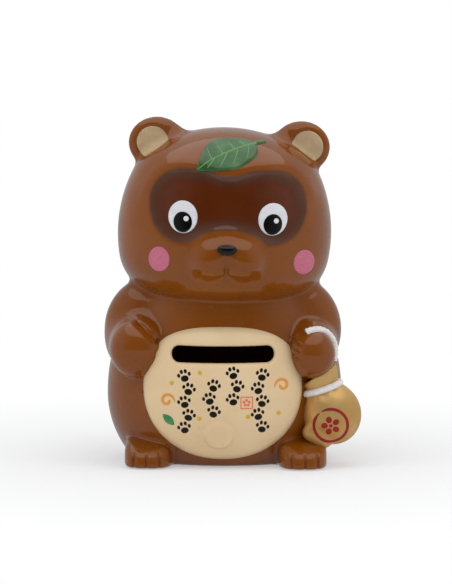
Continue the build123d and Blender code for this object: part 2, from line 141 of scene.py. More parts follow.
def turned_arc(q, ratio, centre_r, centre_z, radius):
    """Distance to an arc turned about the height axis and narrowed from front to back."""
    x, y, z = q[:, 0], q[:, 1], q[:, 2]
    r = np.sqrt(x * x + (y / ratio) ** 2) + 1e-6
    a, b = r - centre_r, z - centre_z
    reach = np.sqrt(a * a + b * b) + 1e-6
    bend = (x * x + y * y / ratio**4 + 1e-12) / (r * r)
    return (reach - radius) / np.sqrt((a / reach) ** 2 * bend + (b / reach) ** 2)


def torso_field(p, inset=0.0, floor=0.0, edge=1.2):
    """The torso: flank and haunch arcs, a crown arc that the head hides, and a flat floor."""
    q = p - np.array((0, 0, TORSO_WIDEST))
    ratio = TORSO_HALF_DEPTH / TORSO_HALF_WIDTH
    flank_r, haunch_r = TORSO_FLANK - inset, TORSO_HAUNCH - inset
    half_width = TORSO_HALF_WIDTH - inset
    flank = turned_arc(q, ratio, half_width - flank_r, 0, flank_r)
    haunch = turned_arc(q, ratio, half_width - haunch_r, 0, haunch_r)
    crown = turned_arc(q, ratio, 0, TORSO_RISE - TORSO_CROWN, TORSO_CROWN - inset)
    side = np.where(q[:, 2] > 0, flank, haunch)
    return smooth_max(smooth_max(side, crown, 1.2), floor - p[:, 2], edge)


def head_field(q):
    """The bare head in its own frame: side, crown and chin arcs with rounded corners."""
    ratio = HEAD_HALF_DEPTH / HEAD_HALF_WIDTH
    side = turned_arc(q, ratio, HEAD_HALF_WIDTH - HEAD_ARC, 0, HEAD_ARC)
    crown = turned_arc(q, ratio, 0, HEAD_RISE - HEAD_ARC, HEAD_ARC)
    chin = turned_arc(q, ratio, 0, CHIN_ARC - CHIN_DROP, CHIN_ARC)
    return smooth_max(smooth_max(side, crown, 2.0), chin, CHIN_CORNER)


def rounded_box_2d(x, z, half_x, half_z, radius):
    dx, dz = np.abs(x) - half_x + radius, np.abs(z) - half_z + radius
    outside = np.sqrt(np.maximum(dx, 0) ** 2 + np.maximum(dz, 0) ** 2)
    return outside + np.minimum(np.maximum(dx, dz), 0) - radius


def oval_field(x, z, half_x, half_z, power):
    """Distance in a plane to an oval that grows squarer with its power."""
    a, b = np.abs(x) / half_x, np.abs(z) / half_z
    size = (a**power + b**power) ** (1 / power) + 1e-6
    slope = np.sqrt((a ** (power - 1) / half_x) ** 2 + (b ** (power - 1) / half_z) ** 2)
    return (size - 1) / np.maximum(slope / size ** (power - 1), 1e-4)


# Mask in front view: two lobes about the eyes, a lower bridge between them, and the muzzle's notch
LOBE_SPREAD, LOBE_LEVEL, LOBE_HALF, LOBE_CORNER = 16.5, 14.4, (17.8, 16.2), 15.0
BRIDGE_LEVEL, BRIDGE_HALF = 13.9, (17.8, 14.3)
MASK_NOTCH_HALF, MASK_NOTCH_LEVEL = (15.4, 10.0), -5.4
MASK_DEPTH, MASK_SLOPE_WIDTH = 2.2, 8.0


def mask_outline_field(x, z):
    """Distance in front view to the goggle-shaped mask: two lobes with the muzzle below them."""
    u = x - FACE_OFF
    lobes = rounded_box_2d(
        np.abs(u) - LOBE_SPREAD, z - LOBE_LEVEL, LOBE_HALF[0], LOBE_HALF[1], LOBE_CORNER
    )
    bridge = rounded_box_2d(u, z - BRIDGE_LEVEL, BRIDGE_HALF[0], BRIDGE_HALF[1], 1.0)
    goggles = smooth_min(lobes, bridge, 2.5)
    a, b = u / MASK_NOTCH_HALF[0], (z - MASK_NOTCH_LEVEL) / MASK_NOTCH_HALF[1]
    size = np.sqrt(a * a + b * b) + 1e-6
    slope = np.sqrt((a / MASK_NOTCH_HALF[0]) ** 2 + (b / MASK_NOTCH_HALF[1]) ** 2) + 1e-6
    notch = (size - 1) * size / slope
    return smooth_max(goggles, -notch, 5.0)


# Muzzle, lips and ears in the head's frame; the ear's cup lies a little outside the ear's middle
MUZZLE_BRIDGE = ((FACE_OFF, -33.8, -5.2), (11.0, 9.5, 7.0))
MUZZLE_BASE = ((FACE_OFF, -32.5, -4.8), (16.2, 12.2, 8.4))
LIP_CENTRE, LIP_HALF, LIP_GROOVE = (6.9, -37.0, -9.0), (8.4, 8.6, 7.2), 0.6
EAR_OFF, EAR_CENTRE, EAR_HALF = 0.9, (31.5, 1.0, 38.2), (12.4, 5.2, 11.3)
CUP_SPREAD, CUP_LEVEL, CUP_RADIUS, CUP_CHORD, CUP_LEAN = 33.7, 38.6, 7.6, 3.2, math.radians(36)


def muzzle_field(q):
    """The pear-shaped muzzle: a narrow bridge between the eyes on a broad base."""
    return smooth_min(ellipsoid(q, *MUZZLE_BRIDGE), ellipsoid(q, *MUZZLE_BASE), 4.0)


def face_field(p):
    """Head with its sunk mask, muzzle, lips and ears."""
    q = to_head(p)
    edge = mask_outline_field(q[:, 0], q[:, 2])
    front = smooth_step(-8, -18, q[:, 1])
    slope = np.clip(smooth_max(-edge, 0.0 * edge, 1.2) / MASK_SLOPE_WIDTH, 0, 1)
    d = head_field(q) + MASK_DEPTH * slope * (2 - slope) * front
    brow = bell(edge - 2.6, 2.0) * smooth_step(14, 22, q[:, 2])
    d = smooth_min(d - 0.5 * brow * front, muzzle_field(q), 3.0)
    u = mirrored(q, FACE_OFF)
    lip = ellipsoid(u, LIP_CENTRE, LIP_HALF)
    lip = lip + LIP_GROOVE * bell(u[:, 0], 0.9) * smooth_step(-4.0, -7.0, q[:, 2])
    d = smooth_min(d, lip, 4.2)
    ear_q = mirrored(q, EAR_OFF) - np.array(EAR_CENTRE)
    cup_x, cup_z = u[:, 0] - CUP_SPREAD, q[:, 2] - CUP_LEVEL
    inward = -(cup_x * math.sin(CUP_LEAN) + cup_z * math.cos(CUP_LEAN))
    cup_side = smooth_max(np.sqrt(cup_x**2 + cup_z**2) - CUP_RADIUS, inward - CUP_CHORD, 1.6)
    cup = smooth_max(cup_side, ear_q[:, 1] + 3.0, 0.8)
    ear = smooth_max(ellipsoid(ear_q, (0, 0, 0), EAR_HALF), -cup, 1.1)
    return smooth_min(d, ear, 3.0 + 2.5 * smooth_step(0, -8, ear_q[:, 0]))


# Arms and feet: middles and half sizes, and the lines pressed into the hands and toes
FOREARM_TURN = turn_about("Z", math.radians(-12))
ARM_OFF = -0.7
UPPER_ARM = ((31.3, -5.0, 57.0), (20.4, 16.0, 23.0))
FOREARM = ((38.3, -16.5, 51.5), (11.2, 17.5, 12.2))
RIGHT_HAND = ((-37.6, -27.0, 50.6), (11.4, 10.5, 12.4))
LEFT_HAND = ((38.2, -30.0, 49.0), (9.9, 11.0, 11.0))
RIGHT_CREASE = ((-44.0, 66.0), (-38.4, 63.6), (-29.6, 54.8))
RIGHT_NOTCH, RIGHT_NOTCH_DROPS = (-28.4, 54.2), (0.0, 4.2)
LEFT_GROOVE, LEFT_GROOVE_RISES = (30, 48.6), (0.4, 3.6, 6.6)
FOOT_OFF, FOOT_SPREAD, FOOT_HALF, FOOT_TURN = 0.5, 33.0, (10.6, 15.0), math.radians(6)
FOOT_BACK, FOOT_SQUARENESS = {"left": -28.9, "right": -25.0}, 2.7
TOE_HEIGHT, FOOT_SLOPE, FOOT_RISE = 5.8, math.radians(24), 13.0
TOE_GROOVES = (-5.5, 0.0, 5.5)


def near_line(x, z, line):
    """Distance in front view to a line through a few points."""
    best = np.full(x.shape, 1e9)
    for (x0, z0), (x1, z1) in zip(line, line[1:]):
        across, up = x1 - x0, z1 - z0
        share = np.clip(((x - x0) * across + (z - z0) * up) / (across**2 + up**2), 0, 1)
        best = np.minimum(best, np.hypot(x - x0 - share * across, z - z0 - share * up))
    return best


def arms_field(p):
    """Both arms: the animal's right one ends in a broad mitten, the left one in a ball of a paw."""
    x, z = p[:, 0], p[:, 2]
    u = mirrored(p, ARM_OFF)
    front = smooth_step(-14, -20, p[:, 1])
    arm, forearm = ellipsoid(u, *UPPER_ARM), ellipsoid(u, *FOREARM, FOREARM_TURN)
    mitten = smooth_min(ellipsoid(p, *RIGHT_HAND), forearm, 6.0)
    fade = front * smooth_step(65.0, 61.0, z)
    right = smooth_min(arm, mitten, 5.0) + 1.4 * bell(near_line(x, z, RIGHT_CREASE), 1.5) * fade
    for drop in RIGHT_NOTCH_DROPS:
        notch = np.hypot(x - RIGHT_NOTCH[0] + 0.3 * drop, z - RIGHT_NOTCH[1] + drop)
        right = right + 0.9 * bell(notch, 1.5) * front
    paw = ellipsoid(p, *LEFT_HAND)
    for rise in LEFT_GROOVE_RISES:
        line = (z - LEFT_GROOVE[1] - rise) + 0.35 * (x - LEFT_GROOVE[0])
        paw = paw + 0.7 * bell(line, 0.7) * smooth_step(34.2, 32.0, x)
    left = smooth_min(arm, smooth_min(forearm, paw, 2.6), 1.8)
    return np.where(x < 0, right, left)


def foot_field(p):
    """A loaf-shaped foot: an upright toe end, a top that slopes up to the leg, and toe grooves."""
    back = np.where(p[:, 0] > FOOT_OFF, FOOT_BACK["left"], FOOT_BACK["right"])
    side = np.abs(p[:, 0] - FOOT_OFF)
    local = np.stack((side - FOOT_SPREAD, p[:, 1] - back, p[:, 2]), 1) @ turn_about("Z", FOOT_TURN)
    plan = oval_field(local[:, 0], local[:, 1], *FOOT_HALF, FOOT_SQUARENESS)
    slope = (p[:, 2] - TOE_HEIGHT) * math.cos(FOOT_SLOPE)
    slope = slope - (local[:, 1] + FOOT_HALF[1]) * math.sin(FOOT_SLOPE)
    front = smooth_step(-5, -9, local[:, 1]) * smooth_step(7.5, 5.8, p[:, 2])
    for across in TOE_GROOVES:
        plan = plan + 0.9 * bell(local[:, 0] - across, 0.55) * front
    foot = smooth_max(smooth_max(plan, slope, 4.5), p[:, 2] - FOOT_RISE, 4.0)
    return smooth_max(foot, -p[:, 2], 1.5)


def limbs_field(p, d):
    """Arms, feet and tail run into what is already there."""
    d = smooth_min(d, arms_field(p), 1.4 + 1.8 * smooth_step(54, 66, p[:, 2]))
    d = smooth_min(d, foot_field(p), 2.0)
    tail = ellipsoid(p, (0, 36.0, 13.0), (11.0, 15.0, 9.0), turn_about("X", math.radians(30)))
    d = smooth_min(d, smooth_max(tail, -p[:, 2], 1.0), 3.0)
    return np.maximum(d, -p[:, 2])


def outside_field(p):
    """The brown figure's outside, before it is hollowed."""
    return limbs_field(p, smooth_min(torso_field(p), face_field(p), 2.2))


def slot_field(p):
    """Distance in front view to the coin slot."""
    return rounded_box_2d(p[:, 0] - SLOT_CENTRE[0], p[:, 2] - SLOT_CENTRE[1], *SLOT_HALF, 3.2)


def chamber_field(p):
    """The hollow inside the torso and behind the belly drum."""
    inner = torso_field(p, WALL, FLOOR)
    inner = np.maximum(inner, WALL - head_field(to_head(p)))
    ball = ellipsoid(p, BELLY_CENTRE, BELLY_HALF - WALL)
    return np.minimum(inner, np.maximum(ball, FLOOR - p[:, 2]))


def body_field(p):
    """The brown figure, with its chamber, coin slot and stepped base hole."""
    d = smooth_max(outside_field(p), -chamber_field(p), 0.6)
    d = smooth_max(d, -np.maximum(slot_field(p) - 0.6, p[:, 1]), 0.6)
    r = np.sqrt(p[:, 0] ** 2 + p[:, 1] ** 2)
    for radius, depth, softness in BASE_STEPS:
        d = smooth_max(d, -np.maximum(r - radius, p[:, 2] - depth), softness)
    return d


def panel_outline_field(x, z):
    """Distance in front view to the cream panel: squarer above its middle line than below."""
    above = z > PANEL_MIDDLE
    tall, power = np.where(above, PANEL_RISE, PANEL_DROP), np.where(above, 2.75, 2.15)
    return oval_field(x - BELLY_CENTRE[0], z - PANEL_MIDDLE, PANEL_HALF_WIDTH, tall, power)


NAVEL_MIDDLE, NAVEL_TILT = np.array((-2.3, -44.0, 14.8)), math.radians(21)


def drum_outside_field(p):
    """The cream belly's outside, with its rim rounded over and a dimpled navel."""
    ball = ellipsoid(p, BELLY_CENTRE, BELLY_HALF)
    d = smooth_max(ball, panel_outline_field(p[:, 0], p[:, 2]), 3.2)
    off = p - NAVEL_MIDDLE
    along = off @ np.array((0, -math.cos(NAVEL_TILT), -math.sin(NAVEL_TILT)))
    across = np.sqrt(np.maximum((off**2).sum(1) - along**2, 0))
    lift = 1.5 * smooth_step(7.2, 5.2, across) - 0.5 * smooth_step(4.5, 0, across)
    return np.where(np.abs(along) < 8, d - lift, d)


def drum_field(p):
    """The cream drum: hollow, set 1.5 mm into the torso, with the coin slot's soft lip."""
    d = smooth_max(drum_outside_field(p), -ellipsoid(p, BELLY_CENTRE, BELLY_HALF - WALL), 0.4)
    d = smooth_max(d, -(torso_field(p) + 1.5), 0.4)
    return smooth_max(d, -slot_field(p), 2.2)


# From a distance field to a mesh


def slope_of(field, p, step=0.02):
    """Unit normals of a field at points, by central differences."""
    g = np.empty_like(p)
    for k in range(3):
        shift = np.zeros(3)
        shift[k] = step
        g[:, k] = field(p + shift) - field(p - shift)
    return g / (np.linalg.norm(g, axis=1, keepdims=True) + 1e-12)


def settle(field, p, rounds=3, reach=0.6):
    """Moves points on to the field's surface, a little at a time."""
    for _ in range(rounds):
        d = field(p)
        p = p - np.clip(d, -reach, reach)[:, None] * slope_of(field, p)
    return p


CORNERS = np.array([(i, j, k) for i in (0, 1) for j in (0, 1) for k in (0, 1)])
CELL_EDGES = [
    (a, b)
    for a in range(8)
    for b in range(a + 1, 8)
    if np.abs(CORNERS[a] - CORNERS[b]).sum() == 1
]


def mesh_field(field, low, high, spacing):
    """Surface nets over a box: points in millimetres and quads, facing outwards."""
    axes = [np.arange(low[k], high[k] + spacing, spacing) for k in range(3)]
    shape = tuple(len(a) for a in axes)
    values = np.empty(shape)
    for i, x in enumerate(axes[0]):
        y, z = np.meshgrid(axes[1], axes[2], indexing="ij")
        layer = np.stack((np.full(y.size, x), y.ravel(), z.ravel()), 1)
        values[i] = field(layer).reshape(y.shape)
    inside = values < 0
    count = np.zeros(tuple(n - 1 for n in shape))
    total = np.zeros(tuple(n - 1 for n in shape) + (3,))
    for a, b in CELL_EDGES:
        sa = tuple(slice(CORNERS[a][k], shape[k] - 1 + CORNERS[a][k]) for k in range(3))
        sb = tuple(slice(CORNERS[b][k], shape[k] - 1 + CORNERS[b][k]) for k in range(3))
        va, vb = values[sa], values[sb]
        cross = inside[sa] != inside[sb]
        t = np.where(cross, va / np.where(cross, va - vb, 1), 0)
        spot = CORNERS[a] + t[..., None] * (CORNERS[b] - CORNERS[a])
        total += spot * cross[..., None]
        count += cross
    active = count > 0
    number = np.full(active.shape, -1)
    number[active] = np.arange(active.sum())
    cells = np.argwhere(active)
    points = np.array([axes[k][0] for k in range(3)]) + spacing * (
        cells + total[active] / count[active][:, None]
    )
    quads = []
    for k in range(3):
        i, j = [m for m in range(3) if m != k]
        first = [slice(None)] * 3
        second = [slice(None)] * 3
        first[k], second[k] = slice(0, -1), slice(1, None)
        cross = inside[tuple(first)] != inside[tuple(second)]
        at = np.argwhere(cross)
        keep = (at[:, i] > 0) & (at[:, j] > 0)
        keep &= (at[:, i] < shape[i] - 1) & (at[:, j] < shape[j] - 1)
        at = at[keep]
        step_i, step_j = np.eye(3, dtype=int)[i], np.eye(3, dtype=int)[j]
        ring = [number[tuple((at - s).T)] for s in (0 * step_i, step_i, step_i + step_j, step_j)]
        quad = np.stack(ring, 1)
        out = inside[tuple(first)][tuple(at.T)]
        if k == 1:
            out = ~out
        quad[~out] = quad[~out][:, ::-1]
        quads.append(quad)
    return points, np.vstack(quads)


def refine(points, faces, chosen):
    """Splits the chosen quads in four; their neighbours take the new points on shared edges."""
    points = list(map(tuple, points))
    middles = {}

    def middle(a, b):
        key = (min(a, b), max(a, b))
        if key not in middles:
            points.append(tuple((u + v) / 2 for u, v in zip(points[key[0]], points[key[1]])))
            middles[key] = len(points) - 1
        return middles[key]

    made, rest = [], []
    for face, split in zip(faces, chosen):
        if not (split and len(face) == 4):
            rest.append(face)
            continue
        a, b, c, d = face
        ab, bc, cd, da = middle(a, b), middle(b, c), middle(c, d), middle(d, a)
        points.append(tuple(sum(u) / 4 for u in zip(*(points[v] for v in face))))
        m = len(points) - 1
        made += [(a, ab, m, da), (ab, b, bc, m), (m, bc, c, cd), (da, m, cd, d)]
    for face in rest:
        ring = []
        for a, b in zip(face, face[1:] + face[:1]):
            ring.append(a)
            if (min(a, b), max(a, b)) in middles:
                ring.append(middle(a, b))
        made.append(tuple(ring))
    return np.array(points), made


def add_object(name, data):
    """An object in the scene for a mesh, a light or a camera."""
    made = bpy.data.objects.new(name, data)
    bpy.context.scene.collection.objects.link(made)
    return made


def add_mesh(name, points, faces, normals=None):
    """A smooth mesh object from points in millimetres."""
    mesh = bpy.data.meshes.new(name)
    mesh.from_pydata([tuple(p) for p in points * MM], [], [tuple(map(int, f)) for f in faces])
    mesh.validate()
    mesh.shade_smooth()
    if normals is not None:
        mesh.normals_split_custom_set_from_vertices([tuple(n) for n in normals])
    return add_object(name, mesh)


def closed_mesh(name, points, faces):
    """A mesh object of a closed skin, its faces turned outwards by the sign of its volume."""
    volume = 0.0
    for f in faces:
        for i in range(1, len(f) - 1):
            volume += np.dot(points[f[0]], np.cross(points[f[i]], points[f[i + 1]]))
    return add_mesh(name, points, faces if volume >= 0 else [f[::-1] for f in faces])


def add_value(piece, name, values):
    """A number per vertex that the piece's material reads."""
    layer = piece.data.attributes.new(name, "FLOAT", "POINT")
    layer.data.foreach_set("value", np.asarray(values, np.float32))


def field_piece(name, field, low, high, spacing, detail=None, levels=0):
    """A closed smooth piece from a field, finer where detail(points) is true."""
    points, quads = mesh_field(field, low, high, spacing)
    points = settle(field, points, 2, spacing / 2)
    faces = [tuple(int(v) for v in q) for q in quads]
    for _ in range(levels):
        centres = np.array([points[list(f)].mean(0) for f in faces])
        points, faces = refine(points, faces, detail(centres))
        points = settle(field, points, 2, spacing / 4)
    return add_mesh(name, points, faces, slope_of(field, points)), points


# Painted areas: thin closed sheets laid on a field's surface


def trace(field, start, direction, rounds=60):
    """Where rays from outside first meet a field's surface."""
    p = start.copy()
    for _ in range(rounds):
        p = p + np.clip(field(p), -2, 4)[:, None] * 0.85 * direction
    return p


class Sheet:
    """A flat drawing plane in front of a surface, and the way it is thrown on to that surface."""

    def __init__(self, field, origin, across, up, direction, in_head=False):
        self.field, self.in_head = field, in_head
        self.origin, self.across, self.up = map(np.array, (origin, across, up))
        self.direction = np.array(direction)
        if in_head:
            self.direction = self.direction @ HEAD_TURN.T

    def land(self, flat):
        """Row-frame points and normals of the surface under drawing points."""
        p = self.origin + flat[:, :1] * self.across + flat[:, 1:] * self.up
        if self.in_head:
            p = from_head(p)
        p = trace(self.field, p, self.direction)
        return p, slope_of(self.field, p, 0.05)


def turned(flat, turn):
    """Drawing points turned about their origin."""
    c, s = math.cos(turn), math.sin(turn)
    return flat @ np.array(((c, s), (-s, c)))


def on_circle(angles):
    """Points of the unit circle."""
    return np.stack((np.cos(angles), np.sin(angles)), -1)


def ellipse(half_x, half_y, count=72, turn=0.0):
    """Drawing points of a turned ellipse about its centre."""
    t = np.linspace(0, 2 * math.pi, count, endpoint=False)
    return turned(on_circle(t) * (half_x, half_y), turn)


def slab(name, sheet, flat, faces, height, sink):
    """A closed thin slab over drawn faces: a raised top, a sunk underside and a wall around them."""
    p, n = sheet.land(flat)
    total = len(p)
    edges = dict.fromkeys((a, b) for f in faces for a, b in zip(f, f[1:] + f[:1]))
    walls = [(b, a, total + a, total + b) for a, b in edges if (b, a) not in edges]
    under = [tuple(total + v for v in f[::-1]) for f in faces]
    points = np.vstack((p + n * height[:, None], p - n * sink))
    return closed_mesh(name, points, faces + under + walls)


def patch(name, sheet, outline, centre, lift, rings=14, sink=0.25, edge=0.35, crown=0.0):
    """A closed thin patch that fills an outline seen from its centre; its edge is rounded over."""
    centre = np.array(centre, float)
    shares = np.linspace(0, 1, rings + 1)[1:] ** 0.85
    count = len(outline)
    flat = np.vstack([centre[None]] + [centre + s * outline for s in shares])
    size = np.linalg.norm(outline, axis=1).mean()
    inset = np.concatenate(([size], np.repeat((1 - shares) * size, count)))
    near_edge = np.clip(1 - inset / edge, 0, 1)
    height = lift * np.sqrt(np.maximum(1 - near_edge**2, 0)) + crown * (1 - (1 - inset / size) ** 2)
    faces = []
    for k in range(count):
        m = (k + 1) % count
        faces.append((0, 1 + k, 1 + m))
        for r in range(1, (rings - 1) * count, count):
            faces.append((r + k, r + k + count, r + m + count, r + m))
    return slab(name, sheet, flat, faces, height, sink)


def ribbon(name, sheet, line, widths, lift, sink=0.2, across=5):
    """A closed raised brush stroke along a drawn line."""
    line = np.asarray(line, float)
    run = np.gradient(line, axis=0)
    run /= np.linalg.norm(run, axis=1, keepdims=True) + 1e-9
    side = np.stack((-run[:, 1], run[:, 0]), 1)[:, None]
    shares = np.linspace(-1, 1, across)
    flat = line[:, None] + side * (shares[None, :, None] * np.asarray(widths)[:, None, None] / 2)
    ends = np.ones(len(line))
    ends[0] = ends[-1] = 0
    height = lift * np.sqrt(1 - shares[None] ** 2) * ends[:, None]
    faces = [
        (a, a + across, a + across + 1, a + 1)
        for i in range(len(line) - 1)
        for a in range(i * across, (i + 1) * across - 1)
    ]
    return slab(name, sheet, flat.reshape(-1, 2), faces, height.ravel(), sink)


def joined(name, parts):
    """Several meshes as one piece."""
    bpy.ops.object.select_all(action="DESELECT")
    for part in parts:
        part.select_set(True)
    bpy.context.view_layer.objects.active = parts[0]
    bpy.ops.object.join()
    parts[0].name = name
    parts[0].data.name = name
    return parts[0]


def swept(name, path, section, closed=False):
    """A closed tube: section(i) gives the outline at each path point, in its side and up axes."""
    count = len(path)
    run = np.roll(path, -1, axis=0) - np.roll(path, 1, axis=0) if closed else np.gradient(path, axis=0)
    run /= np.linalg.norm(run, axis=1, keepdims=True)
    up = np.array((0.0, -1.0, 0.15))
    points = []
    for i in range(count):
        side = np.cross(run[i], up)
        side /= np.linalg.norm(side)
        ring = section(i)
        points.append(path[i] + ring[:, :1] * side + ring[:, 1:] * np.cross(side, run[i]))
    around = len(points[0])
    faces = []
    for i in range(count if closed else count - 1):
        here, ahead = i * around, (i + 1) % count * around
        for j in range(around):
            k = (j + 1) % around
            faces.append((here + j, here + k, ahead + k, ahead + j))
    if not closed:
        faces.append(tuple(range(around))[::-1])
        faces.append(tuple((count - 1) * around + j for j in range(around)))
    return closed_mesh(name, np.vstack(points), faces)


# The brown figure and its belly

GLAZE_REACH = 2.5


def fine_areas(c):
    """Where the figure needs smaller faces: toes, fingers, lips, muzzle, mask rim and ear cups."""
    x, y, z = c.T
    toes = (z < 9) & (y < -30) & (np.abs(np.abs(x - FOOT_OFF) - FOOT_SPREAD) < 9)
    fingers = (np.abs(np.abs(x) - 32.0) < 6) & (np.abs(z - 52) < 6) & (y < -26)
    crease = (near_line(x, z, RIGHT_CREASE) < 3) & (y < -12)
    q = to_head(c)
    x, y, z = q.T
    side = np.abs(x - FACE_OFF)
    lips = (side < 19) & (y < -32) & (np.abs(z + 9.5) < 9.5)
    ears = (z > 29) & (side > 24) & (y < 0) & (y > -7)
    rim = (np.abs(mask_outline_field(x, z)) < 1.6) & (y < -14)
    bridge = (np.abs(muzzle_field(q)) < 1.6) & (y < -30) & (z > -2)
    return toes | fingers | crease | lips | ears | rim | bridge


def add_thin(piece, field, points, depth):
    """Where a form runs thin over an edge within a depth, so that its glaze breaks paler there and also
    shows a painted highlight on the edge.
    """
    behind = field(points - depth * slope_of(field, points))
    add_value(piece, "thin", np.clip(1 + behind / depth, 0, 1))


def add_glaze_values(piece, field, points):
    """Where glaze pools in creases, also painted shade there, where it runs thin over edges, also a
    painted highlight there, and how far into the mask a point lies.
    """
    ahead = field(points + GLAZE_REACH * slope_of(field, points))
    add_value(piece, "pool", np.clip(1 - ahead / GLAZE_REACH, 0, 1))
    add_thin(piece, field, points, GLAZE_REACH)
    q = to_head(points)
    depth = -mask_outline_field(q[:, 0], q[:, 2])
    depth = np.where((q[:, 1] < -12) & (np.abs(q[:, 2] - 10) < 30), depth, -9)
    depth = np.minimum(depth, 1.6 * muzzle_field(q) - 3.4)
    add_value(piece, "mask", np.clip((depth + 4) / 12, 0, 1))


def dress(piece, slot, *nodes, body="statue"):
    """Rides a piece on its body and hides the solids that it stands for; its slot is not used."""
    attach(piece, body)
    if nodes:
        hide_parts(*nodes)


figure, figure_points = field_piece(
    "glazed_body", body_field, (-56, -52, -3), (56, 56, 155), 1.25, fine_areas, 1
)
add_glaze_values(figure, outside_field, figure_points)
dress(
    figure, "brown_glaze", "base_plate", "torso_shell", "torso_rear", "head_shell", "head_rear",
    "face_mask", "ear_left", "ear_right", "muzzle", "arm_left", "arm_right", "foot_left",
    "foot_right", "tail",
)
drum, drum_points = field_piece("belly_panel", drum_field, (-38, -50, 1), (37, -20, 65), 0.8)
add_glaze_values(drum, drum_outside_field, drum_points)
dress(drum, "cream_glaze", "belly_drum", "navel")


# The face: eyes, cheeks, ear linings and nose, placed in the head's frame

X_AXIS, Z_AXIS, BACKWARDS = (1.0, 0.0, 0.0), (0.0, 0.0, 1.0), (0.0, 1.0, 0.0)
EYE_SPREAD, EYE_LEVEL, EYE_HALF = 19.45, 9.6, (6.35, 6.95)
PUPIL_SHIFT, PUPIL_HALF = (0.0, -2.1), (4.1, 4.5)
# The white dot on each pupil is a painted highlight: a catchlight laid on as white enamel
GLINT_SHIFT, GLINT_HALF = (1.4, 1.5), (1.2, 1.2)
CHEEK_OFF, CHEEK_SPREAD, CHEEK_LEVEL, CHEEK_HALF = 3.4, 31.4, -9.4, (4.6, 5.5)
LINING_RADIUS, LINING_CHORD, LINING_START = 7.0, 2.9, 2.0
NOSE_MIDDLE, NOSE_BOX = (FACE_OFF, -45.2, -3.2), (6, 5, 4)


def face_patch(name, slot, node, offset, outline, at, lift, **form):
    """A thin patch on the face, its drawing plane an offset above the glaze."""
    sheet = Sheet(
        lambda p: face_field(p) - offset, (0, -62.0, 0), X_AXIS, Z_AXIS, BACKWARDS, in_head=True
    )
    dress(patch(name, sheet, outline, at, lift, **form), slot, node)


def lining_outline(straight):
    """A circle about the ear's cup cut off by a chord, from a start away from the chord."""
    start = -straight * LINING_START
    reaches = []
    rays = on_circle(np.linspace(0, 2 * math.pi, 96, endpoint=False))
    for ray in rays:
        b, towards = start @ ray, ray @ straight
        reach = -b + math.sqrt(b * b - (start @ start - LINING_RADIUS**2))
        if towards > 1e-6:
            reach = min(reach, (LINING_CHORD + LINING_START) / towards)
        reaches.append(reach)
    return rays * np.array(reaches)[:, None], start


for name, side in (("left", 1), ("right", -1)):
    eye_at = np.array((FACE_OFF + side * EYE_SPREAD, EYE_LEVEL))
    pupil_at = eye_at + PUPIL_SHIFT
    cheek_at = np.array((CHEEK_OFF + side * CHEEK_SPREAD, CHEEK_LEVEL))
    cup_at = np.array((FACE_OFF + side * CUP_SPREAD, CUP_LEVEL))
    straight = np.array((-side * math.sin(CUP_LEAN), -math.cos(CUP_LEAN)))
    lining, lining_start = lining_outline(straight)
    for piece, slot, node, offset, outline, at, lift, form in (
        ("eye_white", "white_enamel", "eye", 0.0, ellipse(*EYE_HALF), eye_at, 0.45, {"crown": 0.35}),
        ("eye_pupil", "black_enamel", "pupil", 0.55, ellipse(*PUPIL_HALF), pupil_at, 0.4,
         {"crown": 0.4, "sink": 0.4}),
        # A white enamel dot that paints a highlight on the pupil
        ("eye_spark", "white_enamel", "eye_glint", 1.1, ellipse(*GLINT_HALF, 32),
         pupil_at + GLINT_SHIFT, 0.3, {"rings": 6, "sink": 0.4, "edge": 0.25}),
        ("cheek_spot", "pink_enamel", "cheek", 0.0, ellipse(*CHEEK_HALF), cheek_at, 0.3, {}),
        ("ear_inside", "ear_beige", "ear_lining", 0.0, lining, cup_at + lining_start, 0.3, {}),
    ):
        face_patch(f"{piece}_{name}", slot, f"{node}_{name}", offset, outline, at, lift, **form)


def nose_field(p):
    """A broad low nose with a smaller tip below it."""
    q = to_head(p)
    top = ellipsoid(q, (FACE_OFF, -45.0, -2.8), (4.3, 2.7, 1.9))
    tip = ellipsoid(q, (FACE_OFF, -45.2, -3.7), (3.3, 2.6, 1.9))
    return smooth_min(top, tip, 1.4)


nose_middle = from_head(np.array((NOSE_MIDDLE,)))[0]
nose, _ = field_piece("nose_button", nose_field, nose_middle - NOSE_BOX, nose_middle + NOSE_BOX, 0.35)
dress(nose, "black_enamel", "nose")


# The leaf on the forehead, with raised paler veins

LEAF_VIEW = math.radians(6.5)
LEAF_MIDDLE = np.array((2.0, 131.2))
LEAF_EDGE = (
    (-14.5, -6.8), (-13.4, -3.4), (-12.4, -0.6), (-11.3, 2.0), (-10.0, 4.1), (-7.9, 6.0),
    (-5.2, 7.1), (-1.3, 7.5), (3.1, 7.3), (7.0, 6.8), (10.3, 5.9), (11.8, 4.7), (12.6, 2.8),
    (12.4, 0.8), (11.2, -1.1), (9.3, -2.6), (7.4, -3.8), (5.9, -4.7), (4.4, -5.9),
    (-0.5, -6.6), (-6.6, -7.0), (-11.0, -7.3),
)
LEAF_MAIN = ((-13.2, -5.9), (-9.1, -2.6), (-3.0, 0.4), (3.4, 3.1), (8.7, 4.7), (11.9, 5.6))
LEAF_STEM = ((10.6, 5.2), (13.3, 5.7), (15.8, 6.0))
LEAF_SIDES = (
    ((-7.4, -1.7), (-8.6, 0.6), (-9.4, 3.0)), ((-2.6, 0.6), (-4.2, 2.9), (-5.6, 5.6)),
    ((2.6, 2.8), (1.0, 4.4), (-0.6, 6.0)), ((6.9, 4.2), (5.6, 5.3), (4.3, 6.2)),
    ((-6.0, -1.0), (-7.6, -3.4), (-9.4, -5.6)), ((-0.6, 1.4), (-2.2, -2.0), (-4.0, -5.2)),
    ((4.0, 3.3), (3.2, 0.0), (1.6, -4.4)), ((8.4, 4.6), (8.6, 2.0), (7.6, -1.6)),
)


